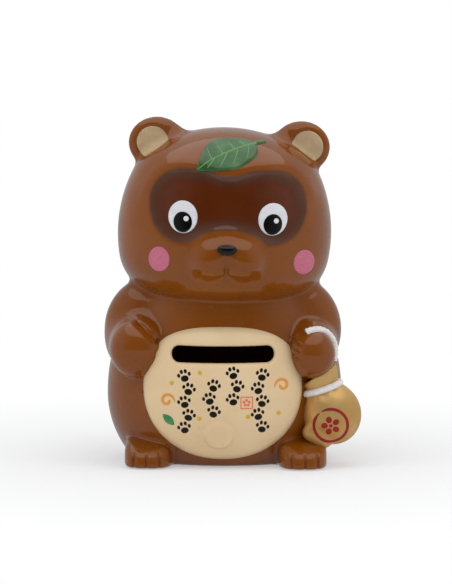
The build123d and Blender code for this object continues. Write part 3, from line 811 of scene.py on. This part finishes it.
def leaf_sheet(offset=0.0):
    """A drawing plane that faces forward and a little down, as the leaf is seen."""
    c, s = math.cos(LEAF_VIEW), math.sin(LEAF_VIEW)
    up, inwards = np.array((0, s, c)), np.array((0, c, -s))
    return Sheet(lambda p: face_field(p) - offset, -90.0 * inwards, X_AXIS, up, inwards)


def softened(points, closed=False, rounds=3):
    """A drawn line or outline with its corners cut; an outline keeps its first point sharp."""
    points = np.asarray(points, float)
    if closed:
        points = np.vstack((points, points[:1]))
    for _ in range(rounds):
        a, b = points[:-1], points[1:]
        cut = np.stack((0.75 * a + 0.25 * b, 0.25 * a + 0.75 * b), 1).reshape(-1, 2)
        points = np.vstack((points[:1], cut, points[-1:]))
    return points[:-1] if closed else points


def leaf_line(name, points, first, last, offset, lift, sink):
    """A stem or vein of the leaf that grows from one width to another."""
    line = LEAF_MIDDLE + softened(points)
    return ribbon(name, leaf_sheet(offset), line, np.linspace(first, last, len(line)), lift, sink)


blade = patch(
    "leaf_blade", leaf_sheet(), softened(LEAF_EDGE, True), LEAF_MIDDLE, 1.15, 20, 0.3, 1.1, -0.25
)
stem = leaf_line("leaf_stem", LEAF_STEM, 2.0, 1.2, 0.0, 0.9, 0.3)
dress(joined("forehead_leaf", [blade, stem]), "leaf_green", "leaf")
veins = [leaf_line("vein_main", LEAF_MAIN, 0.5, 1.1, 0.9, 0.28, 0.4)]
for k, side_line in enumerate(LEAF_SIDES):
    veins.append(leaf_line(f"vein_{k}", side_line, 0.8, 0.4, 0.9, 0.24, 0.4))
dress(joined("leaf_veins", veins), "leaf_green")


# The lucky bag, its gathered mouth, tie and rope


def to_bag(p):
    """Points in the bag's own upright frame, with their angle from its front and their radius."""
    q = (p - BAG_PLACE) @ BAG_TURN
    return q, np.arctan2(q[:, 0], -q[:, 1]), np.sqrt(q[:, 0] ** 2 + q[:, 1] ** 2)


def from_bag(q):
    """Points of the bag's own frame in the row frame."""
    return q @ BAG_TURN.T + BAG_PLACE


# The pressed ridge at the bag's lower inner corner, from the bag's middle
CORNER_START, CORNER_END = np.array((-8.3, -5.0, -7.4)), np.array((-3.4, -5.0, -10.4))
CORNER_RADIUS = 4.1
BAG_NECK, TIE_LEVEL, TIE_RADIUS, TIE_THICK, TIE_STEPS, TIE_TWISTS = 7.0, 11.9, 8.0, 1.5, 150, 9


def pouch_field(p):
    """A full round bag drawn in at the neck, with a pressed ridge at its lower inner corner."""
    q, angle, radius = to_bag(p)
    folds = 0.45 * np.cos(9 * angle + 0.4) * smooth_step(5.5, 11.5, q[:, 2])
    neck = np.maximum(radius - BAG_NECK + folds, np.abs(q[:, 2] - 9.5) - 3.4)
    d = smooth_min(ellipsoid(q, (0.5, 0, 0), (12.7, 12.0, 13.6)) + 0.6 * folds, neck, 2.6)
    off, run = p - BAG_PLACE - CORNER_START, CORNER_END - CORNER_START
    share = np.clip(off @ run / (run @ run), 0, 1)
    corner = np.linalg.norm(off - share[:, None] * run, axis=1) - CORNER_RADIUS
    return smooth_min(d, corner, 1.8)


def collar_field(p):
    """The smooth folded mouth above the tie, flared and scooped out."""
    q, angle, radius = to_bag(p)
    rise = np.clip((q[:, 2] - TIE_LEVEL) / 6.0, 0, 1)
    fold = bell(angle - 0.5 - 0.9 * rise, 0.16)
    outer = 7.1 + 1.7 * rise + 0.25 * np.cos(3 * angle + 0.6) * rise - 0.5 * fold
    level = q[:, 2] - 0.25 * q[:, 0]
    d = smooth_max((radius - outer) * 0.9, level - 18.4 - 0.3 * np.cos(3 * angle), 1.2)
    d = smooth_max(d, 10.5 - q[:, 2], 0.3)
    scoop = ellipsoid(np.stack((q[:, 0], q[:, 1], level), 1), (0, 0, 19.1), (6.0, 6.0, 2.8))
    return smooth_max(d, -scoop, 0.9)


mouth = from_bag(np.array(((0.0, 0.0, 14.0),)))[0]
for name, node, field, low, high, spacing, depth in (
    ("bag_body", "pouch", pouch_field, BAG_PLACE - (18, 15, 16), BAG_PLACE + (16, 15, 17), 0.7, 1.5),
    ("bag_mouth", "pouch_collar", collar_field, mouth - 12, mouth + 12, 0.5, 1.2),
):
    piece, piece_points = field_piece(name, field, low, high, spacing)
    add_thin(piece, field, piece_points, depth)
    dress(piece, "gold_lustre", node)


def rope_section(radius, pitch, step):
    """Outline of a three-strand rope at each path point, turned along its length."""
    turn = np.linspace(0, 2 * math.pi, 30, endpoint=False)

    def section(i):
        phase = 2 * math.pi * i * step / pitch
        return on_circle(turn) * radius * (0.9 + 0.12 * np.abs(np.cos(1.5 * (turn - phase))))[:, None]

    return section


def relaxed(path, rounds):
    """A path with its inner points eased towards their neighbours."""
    for _ in range(rounds):
        path[1:-1] = (path[:-2] + 2 * path[1:-1] + path[2:]) / 4
    return path


around = TIE_RADIUS * on_circle(np.linspace(0, 2 * math.pi, TIE_STEPS, endpoint=False))
tie_path = from_bag(np.column_stack((around, np.full(TIE_STEPS, TIE_LEVEL))))
tie_length = 2 * math.pi * TIE_RADIUS
tie_rope = rope_section(TIE_THICK, tie_length / TIE_TWISTS, tie_length / TIE_STEPS)
dress(swept("bag_tie", tie_path, tie_rope, closed=True), "cord_white", "pouch_tie")

# The rope over the left paw and down its outer side to the bag, half sunk into the arm
CORD_RADIUS, CORD_PITCH, CORD_STEPS, CORD_LIFT = 1.6, 5.2, 130, 0.35
CORD_LINE = (
    (34.4, -36.0, 62.0), (38.3, -34.5, 62.4), (41.4, -32.0, 61.0), (44.0, -29.5, 58.6),
    (46.4, -27.5, 55.2), (47.6, -26.0, 51.6), (48.0, -25.5, 48.6), (47.2, -26.0, 45.6),
)
run = np.linspace(0, 1, CORD_STEPS)
knots = np.linspace(0, 1, len(CORD_LINE))
cord_path = np.stack([np.interp(run, knots, column) for column in zip(*CORD_LINE)], 1)
cord_path = relaxed(settle(outside_field, relaxed(cord_path, 40), 12, 1.5), 12)
cord_path = cord_path + CORD_LIFT * slope_of(outside_field, cord_path, 0.05)
cord_length = np.linalg.norm(np.diff(cord_path, axis=0), axis=1).sum()
cord_rope = rope_section(CORD_RADIUS, CORD_PITCH, cord_length / (CORD_STEPS - 1))
dress(swept("paw_cord", cord_path, cord_rope), "cord_white", "shoulder_cord")


# Painted motifs: paw prints, swirls, dots, a leaf and a flower seal on the belly, a blossom on the bag

BELLY = Sheet(drum_outside_field, (0, -62.0, 0), X_AXIS, Z_AXIS, BACKWARDS)
BAG = Sheet(pouch_field, BAG_PLACE - (0, 20.0, 0), BAG_TURN[:, 0], BAG_TURN[:, 2], BACKWARDS)
PAINT, PAINT_SINK, PAINT_EDGE = 0.16, 0.12, 0.2
PRINT_COLUMNS = ((15.4, 41.0, 5, 1), (4.6, 42.0, 3, -1), (-5.6, 36.6, 3, 1), (-16.4, 40.6, 5, -1))
PRINT_SIZE, PRINT_STEP, PRINT_SWAY, PRINT_TURN = 2.75, 5.7, 0.9, 0.22
# A paw print's pad and toes: place and half size, for a print of size 1
PRINT_MARKS = (
    (0, -0.25, 0.62, 0.5), (-0.85, 0.35, 0.24, 0.32), (-0.32, 0.85, 0.25, 0.34),
    (0.32, 0.85, 0.25, 0.34), (0.85, 0.35, 0.24, 0.32),
)
SWIRL_SIZE = 3.3
DOT_PLACES = ((-10.6, 42.6), (10.2, 23.4), (-10.8, 22.6), (23.4, 24.6), (-22.8, 37.8))
LEAFLET_AT, LEAFLET_TURN, LEAFLET_HALF = (-24.2, 21.6), -0.75, (3.4, 1.75)
SEAL_AT, SEAL_HALF, SEAL_LINE = np.array((9.6, 29.6)), 2.5, 0.5
BLOSSOM_AT, RING_RADIUS, RING_WIDTH = np.array((-1.3, -3.6)), 7.3, 1.3


def blot(name, sheet, centre, half_x, half_y, turn=0.0):
    """A small painted oval."""
    oval = ellipse(half_x, half_y, 22, turn)
    return patch(name, sheet, oval, centre, PAINT, 3, PAINT_SINK, PAINT_EDGE)


def stroke(name, sheet, line, widths):
    """A painted brush stroke."""
    return ribbon(name, sheet, line, widths, PAINT, PAINT_SINK)


def paw_print(name, centre, size, turn):
    """One pad and four toes."""
    marks = []
    for k, (x, y, a, b) in enumerate(PRINT_MARKS):
        at = np.array(centre) + size * turned(np.array((x, y)), turn)
        marks.append(blot(f"{name}_{k}", BELLY, at, a * size, b * size, turn))
    return marks


def spiral(name, centre, turn, direction):
    """A swirl that opens outwards, tapered at both ends."""
    t = np.linspace(0.2, 1, 44)
    angle = turn + direction * t * 2 * math.pi * 1.35
    line = np.array(centre) + SWIRL_SIZE * t[:, None] * on_circle(angle)
    return stroke(name, BELLY, line, 1.25 * np.minimum(1, 6 * (1.04 - t)) * np.minimum(1, 0.5 + 2 * t))


def five_around(centre, radius):
    """Five angles and places about a centre, the first above it."""
    for angle in math.pi / 2 + 2 * math.pi / 5 * np.arange(5):
        yield angle, centre + radius * on_circle(angle)


prints = []
for column, (x, z, count, lean) in enumerate(PRINT_COLUMNS):
    for k in range(count):
        side = lean if k % 2 == 0 else -lean
        at = (x + PRINT_SWAY * side, z - PRINT_STEP * k)
        prints += paw_print(f"print_{column}_{k}", at, PRINT_SIZE, -PRINT_TURN * side)
dress(joined("belly_prints", prints), "black_enamel")

swirls = [
    spiral("swirl_right", (25.0, 36.6), 1.2, 1),
    spiral("swirl_left", (-24.8, 30.0), 2.0, -1),
]
dress(joined("belly_swirls", swirls), "pink_enamel")

dots = [blot(f"dot_{k}", BELLY, at, 0.95, 1.0) for k, at in enumerate(DOT_PLACES)]
dress(joined("belly_dots", dots), "pink_enamel")

shares = np.linspace(0, 1, 16)
half_wide = LEAFLET_HALF[1] * np.sin(math.pi * shares) ** 0.8
edge = np.column_stack((LEAFLET_HALF[0] * (2 * shares - 1), half_wide))
leaflet_edge = turned(np.vstack((edge * (1, -1), edge[::-1][1:-1])), LEAFLET_TURN)
leaflet = patch("belly_leaflet", BELLY, leaflet_edge, LEAFLET_AT, PAINT, 5, PAINT_SINK, PAINT_EDGE)
dress(leaflet, "leaf_green")

square = SEAL_HALF * np.array(((-1, -1), (1, -1), (1, 1), (-1, 1), (-1, -1)), float)
seal_edge = SEAL_AT + np.vstack([np.linspace(square[i], square[i + 1], 9) for i in range(4)])
seal_marks = [stroke("seal_edge", BELLY, seal_edge, np.full(36, SEAL_LINE))]
for k, (angle, at) in enumerate(five_around(SEAL_AT, 1.15)):
    seal_marks.append(blot(f"seal_petal_{k}", BELLY, at, 0.62, 0.62))
dress(joined("belly_seal", seal_marks), "pink_enamel")

share = np.linspace(0, 1, 90)
ring_line = BLOSSOM_AT + RING_RADIUS * on_circle(np.radians(-246 + 352 * share))
ring_width = RING_WIDTH * np.minimum(1, 9 * np.minimum(share, 1 - share) + 0.35)
bag_marks = [stroke("bag_ring", BAG, ring_line, ring_width)]
for k, (angle, at) in enumerate(five_around(BLOSSOM_AT, 2.75)):
    petal = ellipse(1.45, 1.3, 28, angle)
    bag_marks.append(patch(f"petal_{k}", BAG, petal, at, PAINT, 4, PAINT_SINK, PAINT_EDGE))
bag_marks.append(blot("bag_heart", BAG, BLOSSOM_AT, 0.8, 0.8))
dress(joined("bag_blossom", bag_marks), "pink_enamel")


# Materials


def paint(red, green, blue):
    """A screen colour of 0 to 255 as the linear colour that nodes take."""
    channels = [v / 255 for v in (red, green, blue)]
    linear = [v / 12.92 if v <= 0.04045 else ((v + 0.055) / 1.055) ** 2.4 for v in channels]
    return (*linear, 1.0)


def feed(socket, value):
    """Links a node's input to an output, or sets it to a value."""
    if isinstance(value, bpy.types.NodeSocket):
        socket.id_data.links.new(value, socket)
    else:
        socket.default_value = value


def add_node(tree, kind, inputs=None, **settings):
    """A shader node with its settings made and its inputs fed."""
    node = tree.nodes.new("ShaderNode" + kind)
    for key, setting in settings.items():
        setattr(node, key, setting)
    for key, value in (inputs or {}).items():
        feed(node.inputs[key], value)
    return node


# The colour sockets of a Mix node, by their places
MIX_FACTOR, MIX_FIRST, MIX_SECOND, MIX_RESULT = 0, 6, 7, 2


class Finish:
    """A procedural material: a Principled shader with noise for its colour, gloss and relief."""

    def __init__(self, name, roughness=0.3, coat=0.0, coat_roughness=0.04, metallic=0.0):
        self.material = bpy.data.materials.new(name)
        self.material.use_nodes = True
        self.tree = self.material.node_tree
        self.shader = self.tree.nodes["Principled BSDF"]
        self.set("Roughness", roughness)
        self.set("Coat Weight", coat)
        self.set("Coat Roughness", coat_roughness)
        self.set("Metallic", metallic)
        self.set("IOR", 1.5)
        self.set("Specular IOR Level", 0.12 if coat > 0.5 else 0.4)
        self.place = self.node("TexCoord").outputs["Object"]

    def set(self, socket, value):
        feed(self.shader.inputs[socket], value)

    def node(self, kind, inputs=None, **settings):
        return add_node(self.tree, kind, inputs, **settings)

    def noise(self, scale, detail=3, stretch=None):
        """Noise with a scale in features per metre."""
        place = self.place
        if stretch:
            place = self.node("Mapping", {"Vector": place, "Scale": stretch}).outputs["Vector"]
        return self.node("TexNoise", {"Vector": place, "Scale": scale, "Detail": detail}).outputs["Fac"]

    def value(self, name):
        """A number that the mesh carries."""
        return self.node("Attribute", attribute_name=name).outputs["Fac"]

    def spread(self, source, low, high, to_low=0.0, to_high=1.0):
        """A value's range stretched to another range."""
        inputs = {"Value": source, "From Min": low, "From Max": high, "To Min": to_low, "To Max": to_high}
        return self.node("MapRange", inputs).outputs["Result"]

    def ramp(self, source, *stops):
        node = self.node("ValToRGB", {"Fac": source})
        elements = node.color_ramp.elements
        while len(elements) < len(stops):
            elements.new(0.5)
        for element, (position, colour) in zip(elements, stops):
            element.position = position
            element.color = colour
        return node.outputs["Color"]

    def blend(self, amount, first, second):
        """Two colours, each a tuple or an output, mixed by an amount."""
        inputs = {MIX_FACTOR: amount, MIX_FIRST: first, MIX_SECOND: second}
        return self.node("Mix", inputs, data_type="RGBA").outputs[MIX_RESULT]

    def tint(self, base, colour, source, low, high, most):
        """A base with a colour laid over it as a value runs from low to high."""
        return self.blend(self.spread(source, low, high, 0, most), base, colour)

    def cloud(self, noise, *tones):
        """The base colour: tones of 0 to 255 that follow a noise."""
        levels = (0.3, 0.7) if len(tones) == 2 else (0.3, 0.55, 0.75)
        return self.ramp(noise, *((level, paint(*tone)) for level, tone in zip(levels, tones)))

    def colour(self, value):
        self.set("Base Color", value)

    def gloss(self, source, low, high):
        """Roughness between two values."""
        self.set("Roughness", self.spread(source, 0.3, 0.7, low, high))

    def relief(self, source, depth, coat=True):
        """Bump of a depth in metres."""
        node = self.node("Bump", {"Strength": 1.0, "Distance": depth, "Height": source})
        for socket in ("Normal", "Coat Normal") if coat else ("Normal",):
            self.set(socket, node.outputs["Normal"])

    def show(self, shader):
        """Gives the material's surface to another shader."""
        feed(self.tree.nodes["Material Output"].inputs["Surface"], shader.outputs[0])

    def on(self, *starts):
        """Gives the material to every piece whose name starts in one of these ways."""
        for piece in bpy.data.objects:
            if piece.name.startswith(starts):
                piece.data.materials.clear()
                piece.data.materials.append(self.material)


def brown_glaze():
    """Amber glaze: pools dark in the creases, which is also painted shade, breaks paler over edges, which
    is also a painted highlight, with an airbrushed mask whose greyer rim is partly a painted reflection.
    """
    f = Finish("brown_glaze_look", 0.28, coat=1.0, coat_roughness=0.025)
    glaze = f.cloud(f.noise(28), (122, 63, 4), (129, 68, 8), (136, 73, 12))
    glaze = f.tint(glaze, paint(84, 40, 12), f.noise(900, 1), 0.70, 0.76, 0.35)
    # Darker in the creases: pooled glaze and painted shade
    glaze = f.tint(glaze, paint(92, 42, 8), f.value("pool"), 0.25, 0.9, 0.75)
    # Paler over edges: glaze broken thin and a painted highlight
    glaze = f.tint(glaze, paint(168, 104, 56), f.value("thin"), 0.55, 1.0, 0.55)
    wander = f.spread(f.noise(160, 4), 0.3, 0.7, -0.02, 0.02)
    inside = f.node("Math", {0: f.value("mask"), 1: wander}, operation="ADD").outputs[0]
    mask = f.ramp(inside, (0.30, (0, 0, 0, 1)), (0.40, (1, 1, 1, 1)))
    # Airbrushed mask, greyer towards its rim: airbrush, and a painted reflection on the mask's sunk slope
    airbrush_and_reflection = f.ramp(
        f.value("mask"), (0.36, paint(92, 62, 48)), (0.62, paint(82, 48, 32)),
        (0.80, paint(86, 36, 8)), (0.95, paint(88, 34, 0)),
    )
    streaks = f.noise(90, 4, stretch=(1.0, 1.0, 2.0))
    airbrush_and_reflection = f.tint(airbrush_and_reflection, paint(74, 28, 4), streaks, 0.35, 0.65, 0.3)
    f.colour(f.blend(mask, glaze, airbrush_and_reflection))
    f.gloss(f.noise(60, 2), 0.22, 0.34)
    f.relief(f.noise(220, 2), 0.00006)
    return f


def cream_glaze():
    f = Finish("cream_glaze_look", 0.3, coat=0.55, coat_roughness=0.12)
    base = f.cloud(f.noise(35, 4), (222, 192, 148), (230, 203, 162))
    # Darker in the creases: pooled glaze and painted shade
    base = f.tint(base, paint(190, 158, 108), f.value("pool"), 0.15, 0.8, 0.6)
    # Paler over edges: glaze broken thin and a painted highlight
    base = f.tint(base, paint(232, 217, 184), f.value("thin"), 0.6, 1.0, 0.4)
    f.colour(f.tint(base, paint(170, 140, 96), f.noise(700, 1), 0.72, 0.78, 0.25))
    f.gloss(f.noise(50, 2), 0.26, 0.4)
    f.relief(f.noise(260), 0.00005)
    return f


def enamel(name, dark, light, roughness, coat, scale=150.0):
    """Brushed-on enamel with a little streak and cloud."""
    f = Finish(name, roughness, coat=coat, coat_roughness=0.05)
    streaks = f.noise(scale, stretch=(1.0, 1.0, 2.2))
    f.colour(f.ramp(streaks, (0.32, paint(*dark)), (0.68, paint(*light))))
    f.gloss(f.noise(scale * 2, 2), roughness * 0.8, roughness * 1.25)
    f.relief(f.noise(scale * 3, 2), 0.00003)
    return f


def gold_lustre():
    f = Finish("gold_lustre_look", 0.45, coat=0.15, coat_roughness=0.2, metallic=0.7)
    base = f.cloud(f.noise(70, 4), (222, 172, 96), (238, 198, 130))
    base = f.tint(base, paint(170, 120, 58), f.value("thin"), 0.55, 1.0, 0.6)
    f.colour(f.tint(base, paint(176, 134, 72), f.noise(420), 0.66, 0.74, 0.5))
    f.gloss(f.noise(120), 0.4, 0.54)
    f.relief(f.noise(380), 0.00005)
    return f


def rope_slip():
    f = Finish("rope_slip_look", 0.75)
    f.colour(f.cloud(f.noise(500, 4), (218, 212, 209), (238, 234, 231)))
    f.gloss(f.noise(300, 2), 0.6, 0.85)
    f.relief(f.noise(900), 0.00012, coat=False)
    return f


def ear_slip():
    f = Finish("ear_slip_look", 0.8)
    f.colour(f.cloud(f.noise(240, 5), (176, 150, 114), (190, 165, 130)))
    f.gloss(f.noise(300, 2), 0.7, 0.9)
    f.relief(f.noise(1100), 0.00006, coat=False)
    return f


def leaf_enamel():
    f = Finish("leaf_enamel_look", 0.25, coat=0.9)
    f.colour(f.cloud(f.noise(130, 4), (42, 82, 40), (58, 102, 54), (80, 122, 68)))
    f.gloss(f.noise(200, 2), 0.2, 0.34)
    f.relief(f.noise(300, 2), 0.00008)
    return f


def stopper_rubber():
    f = Finish("stopper_rubber_look", 0.5)
    f.set("Subsurface Weight", 0.15)
    f.set("Subsurface Radius", (0.002, 0.0018, 0.0014))
    f.colour(f.cloud(f.noise(90, 4), (208, 205, 192), (224, 222, 212)))
    f.gloss(f.noise(250), 0.42, 0.62)
    f.relief(f.noise(1200, 2), 0.00003, coat=False)
    return f


# Enamels: dark and light tone, roughness, coat, and the pieces that wear them
ENAMELS = {
    "black_enamel": ((5, 4, 4), (14, 12, 12), 0.18, 0.7, ("eye_pupil", "nose_button")),
    "black_paint": ((6, 5, 5), (16, 14, 13), 0.55, 0.1, ("belly_prints",)),
    "white_enamel": ((214, 214, 218), (226, 226, 229), 0.3, 0.7, ("eye_white", "eye_spark")),
    "vein_enamel": ((88, 136, 76), (108, 154, 90), 0.3, 0.8, ("leaf_veins",)),
    "leaflet_enamel": ((46, 126, 66), (66, 146, 84), 0.35, 0.4, ("belly_leaflet",)),
    "orange_enamel": ((222, 142, 40), (232, 160, 62), 0.35, 0.4, ("belly_swirls",)),
    "mustard_enamel": ((212, 160, 38), (224, 176, 58), 0.35, 0.4, ("belly_dots",)),
    "coral_enamel": ((236, 110, 82), (242, 134, 104), 0.35, 0.4, ("belly_seal",)),
    "red_enamel": ((138, 4, 12), (158, 12, 22), 0.5, 0.15, ("bag_blossom",)),
}
for name, (dark, light, roughness, coat, starts) in ENAMELS.items():
    enamel(name + "_look", dark, light, roughness, coat).on(*starts)
enamel("pink_enamel_look", (188, 94, 118), (200, 110, 132), 0.5, 0.3, 900.0).on("cheek_spot")
brown_glaze().on("glazed_body")
cream_glaze().on("belly_panel")
ear_slip().on("ear_inside")
leaf_enamel().on("forehead_leaf")
gold_lustre().on("bag_body", "bag_mouth")
rope_slip().on("bag_tie", "paw_cord")
rubber = stopper_rubber().material
for slot in bpy.data.objects["stopper"].material_slots:
    slot.material = rubber


# Studio: a white floor that fades into the background, a band and a sheet that only reflections
# see, and softboxes

WHITE, SKY, SKY_STRENGTH = (1, 1, 1, 1), (0.96, 0.98, 1.0, 1), 0.72
FLOOR_SIZE, FLOOR_DROP = 6.0, 0.0004
FADE_START, FADE_END, FADE_LEAST = 0.06, 0.22, 0.4
SHEET_SIZE, SHEET_PLACE, SHEET_GLOW = 5.2, (0, -0.2, 0.0006), 0.42
BAND_RADIUS, BAND_LOW, BAND_HIGH, BAND_TURNS, BAND_RISES = 2.2, -4.0, 47.0, 72, 10
BAND_FRONT, BAND_SIDE, BAND_BACK, BAND_LEVEL = 0.035, 0.36, 0.50, 0.07


def metre_mesh(name, points, faces):
    """A mesh object from points in metres."""
    mesh = bpy.data.meshes.new(name)
    mesh.from_pydata(points, [], faces)
    return add_object(name, mesh)


def flat_sheet(name, size, place):
    """A square that lies level."""
    h = size / 2
    piece = metre_mesh(name, [(-h, -h, 0), (h, -h, 0), (h, h, 0), (-h, h, 0)], [(0, 1, 2, 3)])
    piece.location = place
    return piece


def seen_by(tree, first, *others):
    """1 for rays of the given kinds, else 0."""
    paths = add_node(tree, "LightPath")
    seen = paths.outputs[f"Is {first} Ray"]
    for kind in others:
        inputs = {0: seen, 1: paths.outputs[f"Is {kind} Ray"]}
        seen = add_node(tree, "Math", inputs, operation="MAXIMUM").outputs[0]
    return seen


def floor_look():
    """White ground near the figure that turns into an even glow farther out."""
    f = Finish("floor_look", 0.6)
    f.colour(f.cloud(f.noise(6, 2), (246, 246, 247), (249, 249, 250)))
    f.relief(f.noise(400, 2), 0.00002, coat=False)
    away = f.node("VectorMath", {0: f.place}, operation="LENGTH").outputs["Value"]
    fade = f.spread(away, FADE_START, FADE_END, FADE_LEAST, 1.0)
    share = {0: fade, 1: seen_by(f.tree, "Camera", "Glossy")}
    share = f.node("Math", share, operation="MULTIPLY").outputs[0]
    glow = f.node("Emission", {"Color": WHITE}).outputs[0]
    f.show(f.node("MixShader", {0: share, 1: f.shader.outputs[0], 2: glow}))
    return f


flat_sheet("floor", FLOOR_SIZE, (0, 0, -FLOOR_DROP))
floor_look().on("floor")

world = bpy.data.worlds.new("studio")
bpy.context.scene.world = world
world.use_nodes = True
tree = world.node_tree
tree.nodes.clear()
white = add_node(tree, "Background", {"Color": WHITE, "Strength": 1.0}).outputs[0]
ambient = add_node(tree, "Background", {"Color": SKY, "Strength": SKY_STRENGTH}).outputs[0]
direct = seen_by(tree, "Camera", "Transmission", "Glossy")
mixed = add_node(tree, "MixShader", {0: direct, 1: ambient, 2: white}).outputs[0]
add_node(tree, "OutputWorld", {"Surface": mixed})


def dim_band():
    """Part of a ball's surface about the figure, darkest in front, with its glow as a value."""
    turns = np.linspace(-math.pi, math.pi, BAND_TURNS + 1)
    rises = np.radians(np.linspace(BAND_LOW, BAND_HIGH, BAND_RISES + 1))
    points = [
        (BAND_RADIUS * math.sin(a) * math.cos(e), -BAND_RADIUS * math.cos(a) * math.cos(e),
         BAND_LEVEL + BAND_RADIUS * math.sin(e))
        for e in rises
        for a in turns
    ]
    row = BAND_TURNS + 1
    faces = [
        (r * row + k, r * row + k + 1, (r + 1) * row + k + 1, (r + 1) * row + k)
        for r in range(BAND_RISES)
        for k in range(BAND_TURNS)
    ]
    piece = metre_mesh("reflection_band", points, faces)
    stops, tones = (0.0, 0.5, 1.35, math.pi), (BAND_FRONT, BAND_FRONT, BAND_SIDE, BAND_BACK)
    add_value(piece, "tone", np.tile(np.interp(np.abs(turns), stops, tones), BAND_RISES + 1))
    return piece


def only_reflected(piece, strength=None):
    """A glow that only reflections see, of an even strength or of the mesh's own tone."""
    piece.visible_camera = piece.visible_shadow = piece.visible_diffuse = False
    f = Finish(piece.name + "_look", 0.9)
    colour = f.ramp(f.noise(3, 2), (0.3, (0.92, 0.92, 0.93, 1)), (0.7, WHITE))
    f.show(f.node("Emission", {"Color": colour, "Strength": strength or f.value("tone")}))
    f.on(piece.name)


# The dim band gives the glaze its deep amber, and the sheet does so where the glaze faces down
only_reflected(dim_band())
only_reflected(flat_sheet("front_floor", SHEET_SIZE, SHEET_PLACE), SHEET_GLOW)


def aimed(thing, place, aim):
    """Places a lamp or a camera and turns it to its aim."""
    thing.location = place
    thing.rotation_euler = (Vector(aim) - Vector(place)).to_track_quat("-Z", "Y").to_euler()


SOFTBOX_AIM = (0, 0, 0.075)


def softbox(name, place, size, power):
    """A soft lamp of a width, height and power in watts that reflections don't show."""
    light = bpy.data.lights.new(name, "AREA")
    light.shape = "RECTANGLE"
    light.size, light.size_y = size
    light.energy = power
    lamp = add_object(name, light)
    lamp.visible_glossy = False
    aimed(lamp, place, SOFTBOX_AIM)


softbox("softbox_left", (-0.75, -0.35, 0.35), (0.5, 0.7), 1.1)
softbox("softbox_right", (0.75, -0.35, 0.35), (0.5, 0.7), 1.1)
softbox("softbox_top", (0, -0.1, 0.85), (0.7, 0.5), 1.6)

# Camera: far off, a little above the level, straight in front
CAMERA_DISTANCE, CAMERA_RISE, LENS_PER_METRE = 3.0, math.radians(6.5), 98.6 / 0.7
CAMERA_AIM = Vector((0.00066, 0, 0.0726))
camera_data = bpy.data.cameras.new("camera")
camera_data.sensor_fit = "VERTICAL"
camera_data.sensor_height = 36.0
camera_data.lens = LENS_PER_METRE * CAMERA_DISTANCE
camera_data.clip_start = 0.05
camera = add_object("camera", camera_data)
back = Vector((0, -math.cos(CAMERA_RISE), math.sin(CAMERA_RISE)))
aimed(camera, CAMERA_AIM + CAMERA_DISTANCE * back, CAMERA_AIM)
bpy.context.scene.camera = camera

bpy.context.scene.view_settings.view_transform = "Standard"
